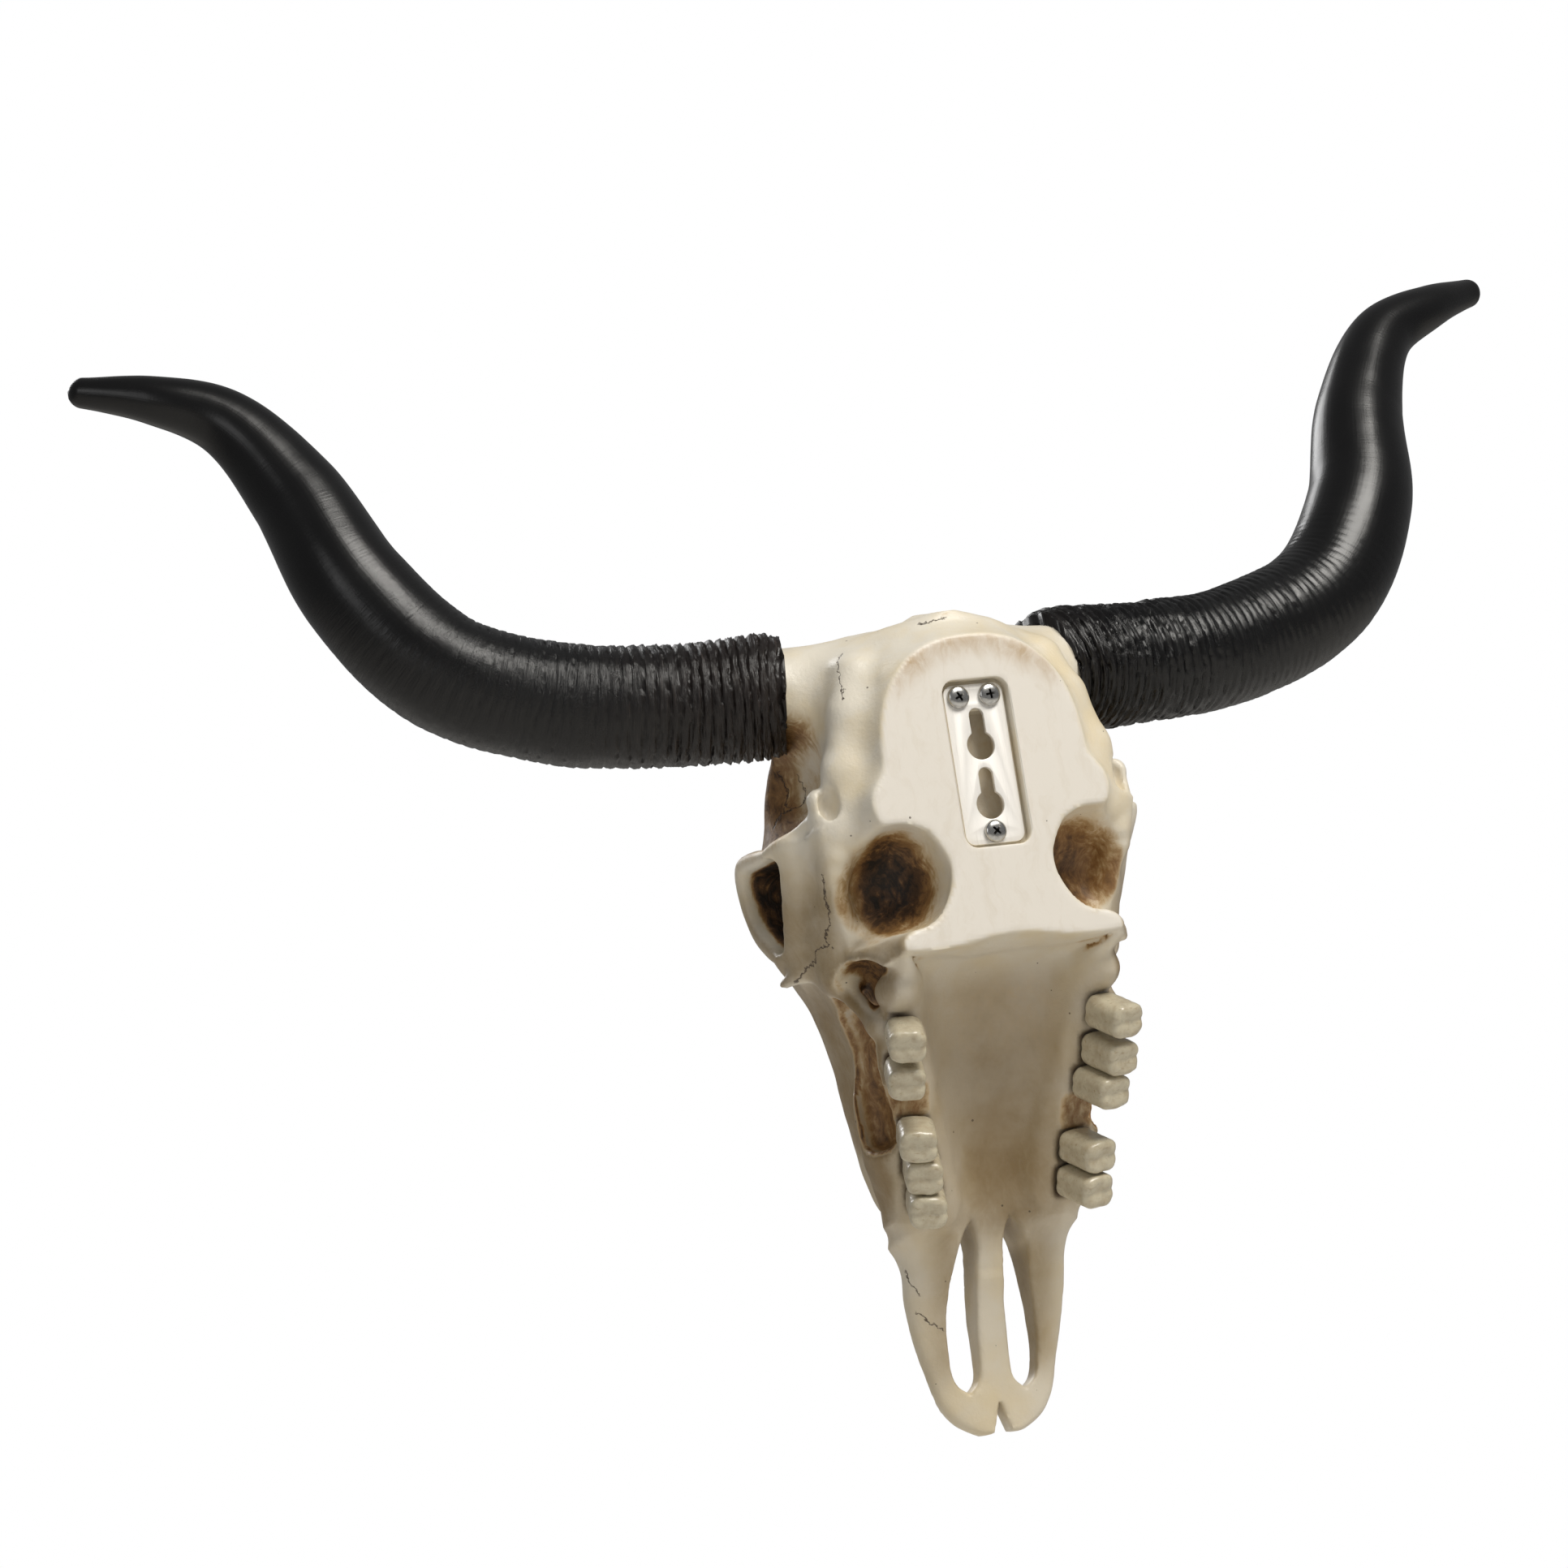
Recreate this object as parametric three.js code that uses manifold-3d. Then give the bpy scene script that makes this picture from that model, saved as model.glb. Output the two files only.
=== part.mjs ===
// Longhorn steer skull made as a cast-resin wall ornament: a bone-coloured skull with its teeth,
// two black horns and a two-keyhole hanger plate let into the flat back.
// Millimetres, +Z up. The wall is the plane y = 0, the face looks along -Y and +X is the steer's left.
// The origin is on the flat back, on the midline, below the hanger plate.
import * as THREE from 'three';
import { mergeVertices } from 'three/addons/utils/BufferGeometryUtils.js';
import Module from 'manifold-3d';

const wasm = await Module();
wasm.setup();

// ---------- driving dimensions ----------
const gap = 0.3;                 // clearance between pieces that touch

const plate = {
  centreZ: 46, width: 22, height: 56.5, thickness: 1.6, corner: 3.5,
  recess: 3,                     // how far its outer face lies behind the flat back
};
const keyhole = { roundRadius: 5.1, slotRadius: 2.7, slotRise: 10.5, centres: [6.5, -14.5] };
const screw = {
  headRadius: 4, headHeight: 2.4,
  shankRadius: 1.9, shankLength: 9,
  crossArm: 2.3, crossWidth: 0.9, crossDepth: 1.1,
  places: [['screw_upper_left', 5.8, 23.9], ['screw_upper_right', -5.8, 23.9], ['screw_lower', 0, -24.1]],
};
const pocket = { margin: 1.3, hollowWidth: 15, hollowTop: 19, hollowBottom: -20, hollowDepth: 8 };

const horn = {
  start: { 1: 53, '-1': 47.5 },  // side of the head: distance from the midline where its horn begins
  baseDeep: 50, baseUp: 85,
  leanDeep: 0.28, leanUp: 0.09,  // the base leans: further out towards the wall and below
  // centre line after the base: x, depth from the wall, z
  line: [[92, 52, 85.5], [132, 60, 91.5], [170, 67, 108.5], [194, 75, 141], [207, 88, 179.5],
    [226, 97, 209.5], [250, 102, 221], [277, 113, 229]],
  // share of the length, radius
  radius: [[0, 20.8], [0.03, 22.8], [0.12, 22.2], [0.35, 21.2], [0.52, 20.2], [0.66, 17.4], [0.78, 13.2],
    [0.88, 9.4], [0.96, 6.2], [1, 5]],
  tipRound: 3,
  rings: 20, sides: 14,
};

const spare = 5;                 // bone sculpted past the flat back before it is cut flat

// sampling grid for the bone, as [from, to, spacing]
const grid = {
  side: [[-80, -34, 7.8], [-34, 34, 6.8], [34, 80, 7.8]],
  deep: [[-9, 119, 7.6]],
  up: [[-186, -96, 6.8], [-96, -20, 7], [-20, 116, 8.6]],
};

// ---------- smooth curves ----------
// cubic through [place, value] stations, flat beyond the ends
function curve(stations, place) {
  const rows = stations[0][0] < stations[1][0] ? stations : [...stations].reverse();
  const last = rows.length - 1;
  if (place <= rows[0][0]) return rows[0][1];
  if (place >= rows[last][0]) return rows[last][1];
  let i = 0;
  while (rows[i + 1][0] < place) i += 1;
  const slope = (k) => {
    const a = rows[Math.max(k - 1, 0)];
    const b = rows[Math.min(k + 1, last)];
    return (b[1] - a[1]) / (b[0] - a[0]);
  };
  const width = rows[i + 1][0] - rows[i][0];
  const t = (place - rows[i][0]) / width;
  return (1 + 2 * t) * (1 - t) ** 2 * rows[i][1] + t * (1 - t) ** 2 * width * slope(i)
    + t * t * (3 - 2 * t) * rows[i + 1][1] + t * t * (t - 1) * width * slope(i + 1);
}

// ---------- solid fields: negative inside, in millimetres ----------
// A point is [side, deep, up]: distance from the midline, depth from the wall, height.
const clamp = (value, low, high) => Math.min(Math.max(value, low), high);

function join(a, b, soft) {
  const t = clamp(0.5 + 0.5 * (b - a) / soft, 0, 1);
  return b + (a - b) * t - soft * t * (1 - t);
}

const carve = (a, b, soft) => -join(-a, b, soft);

function lump([side, deep, up], [cs, cd, cu], [rs, rd, ru]) {
  const q = [(side - cs) / rs, (deep - cd) / rd, (up - cu) / ru];
  const near = Math.hypot(...q);
  return near * (near - 1) / Math.max(Math.hypot(q[0] / rs, q[1] / rd, q[2] / ru), 1e-9);
}

function strut(point, a, b, radiusA, radiusB) {
  const ab = b.map((v, k) => v - a[k]);
  const ap = point.map((v, k) => v - a[k]);
  const along = ap[0] * ab[0] + ap[1] * ab[1] + ap[2] * ab[2];
  const t = clamp(along / (ab[0] ** 2 + ab[1] ** 2 + ab[2] ** 2), 0, 1);
  return Math.hypot(...ap.map((v, k) => v - t * ab[k])) - (radiusA + (radiusB - radiusA) * t);
}

// rounded cross-section with a half width, between two depths
function section(side, deep, half, near, far, power) {
  const thick = (far - near) / 2;
  const q = ((side / half) ** power + Math.abs((deep - (near + far) / 2) / thick) ** power) ** (1 / power);
  return (q - 1) * Math.min(half, thick);
}

// chain of struts through points
function ridge(point, { points, radii }, soft) {
  let chain = strut(point, points[0], points[1], radii[0], radii[1]);
  for (let k = 1; k < points.length - 1; k += 1) {
    chain = join(chain, strut(point, points[k], points[k + 1], radii[k], radii[k + 1]), soft);
  }
  return chain;
}

// ---------- the bone ----------
// heights run from the crown (+105) through the eye sockets (+13) to the nose tips (-180)
const crownUp = 105;
const vault = {
  half: [[104.6, 6], [102.2, 17], [98.8, 27], [91, 37], [80, 46], [66, 53], [50, 57], [33, 60.5], [22, 64],
    [8, 65], [-4, 60], [-14, 52], [-24, 46], [-60, 38], [-80, 34.5], [-94, 29], [-103, 20], [-119, 5]],
  near: [[108, 20], [104, 14], [99, 14], [91, 16], [80, 24], [66, 38], [50, 44], [36, 43], [22, 40], [8, 40],
    [-4, 42], [-14, 49], [-24, 54], [-60, 60], [-80, 66], [-94, 76], [-103, 92], [-119, 107]],
  far: [[108, 42], [104, 55], [99, 65], [91, 76], [80, 85], [66, 91], [50, 96], [22, 103], [8, 105],
    [-24, 110], [-60, 112], [-80, 113], [-119, 112]],
  foot: -119, power: 2.5,
};
const sideWall = {
  half: [[-6, 55], [-24, 52], [-42, 46.3], [-78, 41.8], [-98, 35.5]],
  near: [[-6, 46], [-42, 52], [-78, 55], [-98, 64]],
  far: 98, top: -6, foot: -100, power: 5,
  rake: 0.34, rakeFrom: 57,      // narrower towards the face
};
const muzzle = {
  half: [[-90, 31.6], [-105, 30.6], [-130, 30], [-148, 26.8], [-156, 24.8], [-163, 23], [-169, 20.8],
    [-174, 17.2], [-177.5, 12.5], [-181, 5]],
  near: [[-90, 50], [-105, 61], [-118, 68], [-130, 75.5], [-140, 79], [-156, 82.5], [-181, 85]],
  far: [[-90, 90], [-118, 91], [-140, 93], [-169, 94.5], [-181, 93]],
  top: -92, foot: -180, power: 3,
};
const jaw = {
  gum: [[-16, 10], [-30, 18], [-47, 27], [-75, 43], [-103, 56], [-116, 66]],
  half: [[-14, 42], [-30, 44.5], [-47, 45.5], [-75, 41.5], [-92, 36.5], [-106, 32.2], [-116, 30.2]],
  thick: [[-14, 18], [-60, 18], [-90, 15], [-108, 12]],
  top: -14, foot: -107, footSlope: 0.4, power: 4,
};
const palate = {
  floor: [[-14, 12], [-22, 32], [-40, 45], [-70, 56], [-95, 64], [-110, 68], [-124, 72]],
  half: [[-14, 40], [-24, 32], [-47, 30], [-80, 25.5], [-103, 21.5], [-124, 17]],
  top: -18, foot: -122, power: 2.6, scale: 22,
};
const nostril = {
  half: [[-80, 10], [-104, 24], [-116, 28], [-150, 20], [-166, 12]],
  near: [[-80, 84], [-104, 84], [-130, 90], [-166, 92]],
  far: [[-80, 104], [-104, 106], [-116, 130], [-170, 130]],
  top: -84, foot: -170, power: 2.5,
};
// long opening each side of the bar between the two halves of the muzzle
const slot = {
  mid: [[-103.5, 7.6], [-107, 8.2], [-125, 10.2], [-145, 11.3], [-165, 10.6]],
  half: [[-103.5, 0.4], [-107, 1.7], [-114, 3.7], [-125, 4.8], [-145, 5.6], [-157, 5.1], [-163, 3.6],
    [-166.5, 0.4]],
  top: -103.5, foot: -166.5, steps: 9, near: 55, far: 105,
};
const notch = { top: -168.6, foot: -190, half: 3.6, near: 70, far: 110 };
// the flat back: dome above, an ear each side, bites of the rear hollows, spread foot
const pad = {
  half: 37, domeFrom: 48, top: 91.5, domePower: 2.4,
  ear: { side: 32.5, up: 34.5, radius: 11.5 },
  footHalf: [[-20, 42], [-14, 41], [-8, 35.5], [-3, 30], [4, 24], [12, 21], [19, 23], [30, 26]], footTop: 30,
  edge: [[0, -14.6], [10, -15.6], [20, -18.6], [29, -20.4], [37, -19.4], [43, -16]],
  bite: { side: 43.5, up: 10.5, half: 23.5, tall: 15.8 },
  bevel: 0.35, bevelDepth: 28, depth: 40,
};
const lumps = {                  // centre, radii
  brainCase: [[0, 40, 49], [48, 55, 51]],
  skullBase: [[0, 50, -8], [48, 26, 24]],
  rearFloor: [[42, 43, 8], [15, 15, 24]],
  rearHollow: [[35.5, 4, 9], [15.5, 27, 18.5]],
  rearHollowOuter: [[43.5, 20, 5], [8.5, 12.5, 12]],
  eyeFloor: [[20, 67, 13], [24, 30, 30]],
  temple: [[69, 48, 53], [25, 25, 20]],
  molarHollow: [[46.5, 32, -25], [8.5, 22, 11]],
  scoopDish: [[54.2, 15.8, 39.5], [3.2, 5.2, 6.4]],
  molarKnob: [[38, 22, -27], [7, 10, 7]],
};
const struts = {                 // two ends, radius at each
  hornCore: [[30, 48, 84], [62, 50, 85], 17, 16.6],
  cheekPoint: [[53.5, 56, -10], [65.3, 66.5, -15], 5, 1.4],
  cheekRoot: [[48, 44, 22], [47, 46, -14], 9, 9],
  plateBar: [[56, 23, 35.5], [68, 46, 28.5], 3.4, 2.4],
  cheekHollow: [[42.5, 52, -35], [38.5, 58, -73], 7.6, 5],
  strip: [[49.8, 54, -14], [43, 33, -35.5], 4, 3.6],
  scoop: [[53, 21.5, 22], [55.6, 22, 41.4], 5, 4.6],
};
const ridges = {
  side: {
    points: [[36, 22, 85], [40.5, 18.5, 70], [46.3, 18, 51], [49.5, 20, 30]],
    radii: [6.5, 7, 7, 6.5],
  },
  rearRim: {
    points: [[53.2, 20, 33], [53.6, 24, 17], [50.6, 34, 4], [48.4, 41, -6], [47, 45, -16]],
    radii: [5, 3.9, 3.9, 4.4, 6],
  },
};
// plate between the rear hollow and the eye, leaning outwards and forwards
const cheekPlate = {
  side: 53.8, perDeep: 0.425, perUp: 0.468, fromDeep: 40, thick: 9, top: 30, foot: -13,
  nearDeep: 24, nearSlope: 0.45, nearUp: 15, behindEye: 3,
};
const eye = {
  frontDeep: 58, frontUp: 17, radius: 22,          // round in front
  backDeep: 67, backUp: 13, along: [0.83, 0.55], backReach: 15.2,   // straight behind
  top: 27, inner: 30,
  rimSide: 61.2, rimPerDeep: 0.06, rimPerUp: 0.205, rimDeep: 60, rimUp: 10, rimOut: 2.5, rimRadius: 3.4,
};

function padOutline(side, up) {
  const stretch = pad.half / (pad.top - pad.domeFrom);
  const rise = Math.max(up - pad.domeFrom, 0) * stretch;
  const dome = (side ** pad.domePower + rise ** pad.domePower) ** (1 / pad.domePower) - pad.half;
  const ear = Math.hypot(side - pad.ear.side, up - pad.ear.up) - pad.ear.radius;
  const foot = Math.max(side - curve(pad.footHalf, up), up - pad.footTop);
  const body = up < pad.footTop ? join(foot, ear, 2) : join(join(dome, ear, 5), foot, 3);
  const { bite } = pad;
  const bitten = (1 - Math.hypot((side - bite.side) / bite.half, (up - bite.up) / bite.tall)) * bite.tall;
  return carve(Math.max(body, curve(pad.edge, side) - up), -bitten, 2);
}

function cranium(p) {
  const [side, deep, up] = p;
  const near = curve(vault.near, up);
  let bone = section(side, deep, curve(vault.half, up), near, curve(vault.far, up), vault.power);
  bone = Math.max(bone, up - crownUp, vault.foot - up);
  bone = join(bone, lump(p, ...lumps.brainCase), 8);
  bone = join(bone, lump(p, ...lumps.skullBase), 8);
  const block = padOutline(side, up) - pad.bevel * clamp(deep, 0, pad.bevelDepth);
  bone = join(bone, carve(block, pad.depth - deep, 3), 7);
  bone = join(bone, ridge(p, ridges.side, 4), 8);
  return join(bone, strut(p, ...struts.hornCore), 14);
}

function eyeBack(deep, up) {
  return -(eye.along[0] * (deep - eye.backDeep) + eye.along[1] * (up - eye.backUp)) - eye.backReach;
}

// distance from the edge of the eye socket, seen from the side
function eyeOpening(deep, up) {
  const front = Math.hypot(deep - eye.frontDeep, up - eye.frontUp) - eye.radius;
  return carve(carve(front, -eyeBack(deep, up), 5), eye.top - up, 6);
}

function cheek(p, bone) {
  const [side, deep, up] = p;
  const c = cheekPlate;
  const skin = c.side + c.perDeep * (deep - c.fromDeep) + c.perUp * up;
  const outer = (side - skin) / Math.hypot(1, c.perDeep, c.perUp);
  const rearEdge = c.nearDeep - c.nearSlope * (up - c.nearUp) - deep;
  const eyeEdge = -eyeBack(deep, up) - c.behindEye;
  const board = Math.max(outer, -outer - c.thick, up - c.top, c.foot - up, rearEdge, eyeEdge);
  let face = join(bone, board, 7);
  const raked = Math.abs(side + sideWall.rake * (deep - sideWall.rakeFrom));
  const near = curve(sideWall.near, up);
  let wall = section(raked, deep, curve(sideWall.half, up), near, sideWall.far, sideWall.power);
  wall = Math.max(wall, up - sideWall.top, sideWall.foot - up);
  face = join(face, wall, 5);
  face = join(face, strut(p, ...struts.cheekPoint), 3);
  face = join(face, strut(p, ...struts.cheekRoot), 6);
  face = join(face, lump(p, ...lumps.rearFloor), 6);
  face = join(face, strut(p, ...struts.plateBar), 3);
  const rimSide = eye.rimSide + eye.rimPerDeep * (deep - eye.rimDeep) + eye.rimPerUp * (up - eye.rimUp);
  const rim = Math.hypot(eyeOpening(deep, up) - eye.rimOut, side - rimSide) - eye.rimRadius;
  return join(face, rim, 6);
}

function upperJaw(p, bone) {
  const [side, deep, up] = p;
  const gum = curve(jaw.gum, up);
  let root = section(side, deep, curve(jaw.half, up), gum, gum + 2 * curve(jaw.thick, up), jaw.power);
  root = Math.max(root, up - jaw.top, (jaw.foot - up) * jaw.footSlope);
  let face = join(bone, root, 7);
  const near = curve(muzzle.near, up);
  let lip = section(side, deep, curve(muzzle.half, up), near, curve(muzzle.far, up), muzzle.power);
  lip = Math.max(lip, up - muzzle.top, muzzle.foot - up);
  face = join(face, lip, 6);
  const across = (side / curve(palate.half, up)) ** palate.power;
  const inward = (Math.max(deep, 0) / curve(palate.floor, up)) ** palate.power;
  const trough = (across + inward) ** (1 / palate.power) - 1;
  return carve(face, Math.max(trough * palate.scale, up - palate.top, palate.foot - up), 6);
}

function hollows(p, bone) {
  const [side, deep, up] = p;
  const rear = join(lump(p, ...lumps.rearHollow), lump(p, ...lumps.rearHollowOuter), 8);
  let face = carve(bone, rear, 3.5);
  const socket = Math.max(eyeOpening(deep, up), eye.inner - side);
  face = carve(face, carve(socket, lump(p, ...lumps.eyeFloor), 8), 2);
  face = carve(face, lump(p, ...lumps.temple), 6);
  face = carve(face, lump(p, ...lumps.molarHollow), 2.5);
  const squeezed = [side, (deep - 60) * 0.6 + 60, up];   // deeper than wide
  face = carve(face, strut(squeezed, ...struts.cheekHollow), 2.5);
  face = join(face, strut(p, ...struts.strip), 5);
  const near = curve(nostril.near, up);
  let air = section(side, deep, curve(nostril.half, up), near, curve(nostril.far, up), nostril.power);
  air = Math.max(air, up - nostril.top, nostril.foot - up);
  face = carve(face, air, 3);
  face = join(face, ridge(p, ridges.rearRim, 4), 5);
  face = join(face, strut(p, ...struts.scoop), 2);
  face = carve(face, lump(p, ...lumps.scoopDish), 1.2);
  return join(face, lump(p, ...lumps.molarKnob), 4);
}

function boneField(x, y, z) {
  const p = [Math.abs(x), -y, z];
  const bone = hollows(p, upperJaw(p, cheek(p, cranium(p))));
  return Math.max(bone, -spare - p[1]);
}

// ---------- from a field to a closed mesh ----------
function axis(spans) {
  const marks = [spans[0][0]];
  for (const [from, to, spacing] of spans) {
    const count = Math.ceil((to - from) / spacing);
    for (let i = 1; i <= count; i += 1) marks.push(from + (to - from) * i / count);
  }
  return marks;
}

// corner bits are 1 for x, 2 for y and 4 for z; an edge is its low corner and its direction
const corners = [0, 1, 2, 3, 4, 5, 6, 7];
const edges = corners.flatMap((low) => [0, 1, 2].filter((u) => !(low & (1 << u))).map((u) => ({ low, u })));
const edgeName = (low, u) => low * 3 + u;
const faces = [0, 1, 2].flatMap((u) => [0, 1 << u].map((side) => {
  const [v, w] = [1 << ((u + 1) % 3), 1 << ((u + 2) % 3)];
  return [side, side | v, side | v | w, side | w];
}));

// groups a cell's crossed edges into the separate sheets that pass through it
function sheets(inside) {
  const crossed = edges.filter(({ low, u }) => inside[low] !== inside[low | (1 << u)]);
  const group = new Map(crossed.map(({ low, u }) => [edgeName(low, u), edgeName(low, u)]));
  const between = (a, b) => edgeName(a & b, Math.log2(a ^ b));
  const unite = (a, b) => {
    const [from, to] = [group.get(a), group.get(b)];
    for (const [name, mark] of group) if (mark === from) group.set(name, to);
  };
  for (const ring of faces) {
    const names = ring.map((c, i) => between(c, ring[(i + 1) % 4]));
    const cut = names.filter((name) => group.has(name));
    if (cut.length === 2) unite(cut[0], cut[1]);
    if (cut.length === 4) {
      ring.forEach((c, i) => {
        if (inside[c]) unite(names[i], names[(i + 3) % 4]);
      });
    }
  }
  return group;
}

function meshOfField(field, xs, ys, zs) {
  const size = [xs.length, ys.length, zs.length];
  const stride = [ys.length * zs.length, zs.length, 1];
  const value = new Float64Array(size[0] * stride[0]);
  const nodeOf = (n) => [Math.floor(n / stride[0]), Math.floor(n / stride[1]) % size[1], n % size[2]];
  const placeOf = ([i, j, k]) => new THREE.Vector3(xs[i], ys[j], zs[k]);
  for (let n = 0; n < value.length; n += 1) value[n] = field(...placeOf(nodeOf(n)).toArray());

  // one vertex for each sheet in each crossed cell, drawn onto the surface
  const vertexOf = new Map();
  const places = [];
  for (let n = 0; n < value.length; n += 1) {
    const node = nodeOf(n);
    if (node.some((place, u) => place + 1 === size[u])) continue;
    const inCell = corners.map((c) => {
      return n + (c & 1) * stride[0] + ((c >> 1) & 1) * stride[1] + (c >> 2) * stride[2];
    });
    const inside = inCell.map((m) => value[m] < 0);
    if (inside.every((v) => v === inside[0])) continue;
    const spots = inCell.map((m) => placeOf(nodeOf(m)));
    const group = sheets(inside);
    for (const mark of new Set(group.values())) {
      const members = edges.filter(({ low, u }) => group.get(edgeName(low, u)) === mark);
      const middle = new THREE.Vector3();
      for (const { low, u } of members) {
        const high = low | (1 << u);
        const [a, b] = [value[inCell[low]], value[inCell[high]]];
        middle.addScaledVector(spots[low].clone().lerp(spots[high], a / (a - b)), 1 / members.length);
      }
      const drawn = drawOnto(field, middle.clone()).clamp(spots[0], spots[7]);
      drawn.lerp(middle, 0.1);
      for (const { low, u } of members) vertexOf.set(n * 24 + edgeName(low, u), places.length / 3);
      places.push(drawn.x, drawn.y, drawn.z);
    }
  }

  // one quad round each grid edge that the surface crosses
  const index = [];
  for (let n = 0; n < value.length; n += 1) {
    const node = nodeOf(n);
    for (let u = 0; u < 3; u += 1) {
      const [v, w] = [(u + 1) % 3, (u + 2) % 3];
      const inside = value[n] < 0;
      if (node[u] + 1 === size[u] || node[v] === 0 || node[w] === 0) continue;
      if (inside === value[n + stride[u]] < 0) continue;
      const ring = [[1, 1], [0, 1], [0, 0], [1, 0]].map(([dv, dw]) => (
        vertexOf.get((n - dv * stride[v] - dw * stride[w]) * 24 + edgeName((dv << v) | (dw << w), u))
      ));
      if (!inside) ring.reverse();
      index.push(ring[0], ring[1], ring[2], ring[0], ring[2], ring[3]);
    }
  }
  const geometry = new THREE.BufferGeometry();
  geometry.setAttribute('position', new THREE.Float32BufferAttribute(places, 3));
  geometry.setIndex(index);
  return geometry;
}

// two Newton steps towards the zero of a field
function drawOnto(field, place) {
  const h = 0.4;
  for (let step = 0; step < 2; step += 1) {
    const { x, y, z } = place;
    const slope = new THREE.Vector3(
      field(x + h, y, z) - field(x - h, y, z),
      field(x, y + h, z) - field(x, y - h, z),
      field(x, y, z + h) - field(x, y, z - h),
    ).divideScalar(2 * h);
    place.addScaledVector(slope, -field(x, y, z) / Math.max(slope.lengthSq(), 0.2));
  }
  return place;
}

// ---------- booleans ----------
function toSolid(geometry) {
  let plain = geometry.clone();
  if (plain.attributes.normal) {
    plain.deleteAttribute('normal');
    plain.deleteAttribute('uv');
    plain = mergeVertices(plain, 1e-4);
  }
  return new wasm.Manifold(new wasm.Mesh({
    numProp: 3,
    vertProperties: Float32Array.from(plain.attributes.position.array),
    triVerts: Uint32Array.from(plain.index.array),
  }));
}

function toGeometry(solid) {
  const mesh = solid.getMesh();
  const geometry = new THREE.BufferGeometry();
  geometry.setAttribute('position', new THREE.BufferAttribute(mesh.vertProperties, 3));
  geometry.setIndex(new THREE.BufferAttribute(mesh.triVerts, 1));
  geometry.computeVertexNormals();
  return geometry;
}

// a flat outline in (x, z), extruded from depth `from` to depth `to` behind the wall plane
function cutout(shape, from, to, curveSegments = 4) {
  const options = { depth: to - from, bevelEnabled: false, curveSegments };
  const geometry = new THREE.ExtrudeGeometry(shape, options);
  geometry.rotateX(Math.PI / 2);
  geometry.translate(0, -from, 0);
  return geometry;
}

function roundedRectangle(left, bottom, right, top, corner) {
  const shape = new THREE.Shape();
  shape.moveTo(left + corner, bottom);
  shape.lineTo(right - corner, bottom);
  shape.absarc(right - corner, bottom + corner, corner, -Math.PI / 2, 0);
  shape.lineTo(right, top - corner);
  shape.absarc(right - corner, top - corner, corner, 0, Math.PI / 2);
  shape.lineTo(left + corner, top);
  shape.absarc(left + corner, top - corner, corner, Math.PI / 2, Math.PI);
  shape.lineTo(left, bottom + corner);
  shape.absarc(left + corner, bottom + corner, corner, Math.PI, Math.PI * 1.5);
  return shape;
}

// ---------- teeth ----------
const tooth = { width: 13.4, length: 12, height: 18.5, rise: 1.5, round: 2.2, rowTilt: 28, lean: 16 };
const teeth = {
  // inner edge of each grinding face, from the last molar to the first: side, deep, up
  first: [35.2, 9.5, -47], last: [25.8, 39, -103.3], count: 6,
  missing: { 1: 2, '-1': 3 },    // side of the head: place in the row
};

function toothSolid(side, place) {
  const half = new THREE.Shape();
  const [w, l, r] = [tooth.width / 2, tooth.length / 2, tooth.round];
  half.moveTo(-w + r, -l);
  half.lineTo(w - r, -l);
  half.lineTo(w, -l + r);
  half.lineTo(w, l - r);
  half.lineTo(w - r, l);
  half.lineTo(-w + r, l);
  half.lineTo(-w, l - r);
  half.lineTo(-w, -l + r);
  const bevel = 1.6;
  const crown = new THREE.ExtrudeGeometry(half, {
    depth: tooth.height - bevel, steps: 1, bevelEnabled: true, bevelThickness: bevel, bevelSize: bevel,
    bevelOffset: -bevel, bevelSegments: 1,
  });
  const tilt = THREE.MathUtils.degToRad(tooth.rowTilt);
  const lean = THREE.MathUtils.degToRad(tooth.lean);
  const out = new THREE.Vector3(
    Math.sin(lean) * side,
    Math.cos(tilt) * Math.cos(lean),
    -Math.sin(tilt) * Math.cos(lean),
  );
  const along = new THREE.Vector3(0, -Math.sin(tilt), -Math.cos(tilt));
  const across = new THREE.Vector3().crossVectors(along, out);
  const inward = across.clone().multiplyScalar(across.x * side > 0 ? -1 : 1);
  const edge = new THREE.Vector3(
    side * THREE.MathUtils.lerp(teeth.first[0], teeth.last[0], place),
    -THREE.MathUtils.lerp(teeth.first[1], teeth.last[1], place),
    THREE.MathUtils.lerp(teeth.first[2], teeth.last[2], place),
  );
  const base = edge.addScaledVector(inward, -w).addScaledVector(out, tooth.rise - tooth.height);
  crown.applyMatrix4(new THREE.Matrix4().makeBasis(across, along, out).setPosition(base));
  return toSolid(crown);
}

// ---------- pieces ----------
const pocketDepth = plate.recess + plate.thickness;

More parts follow.
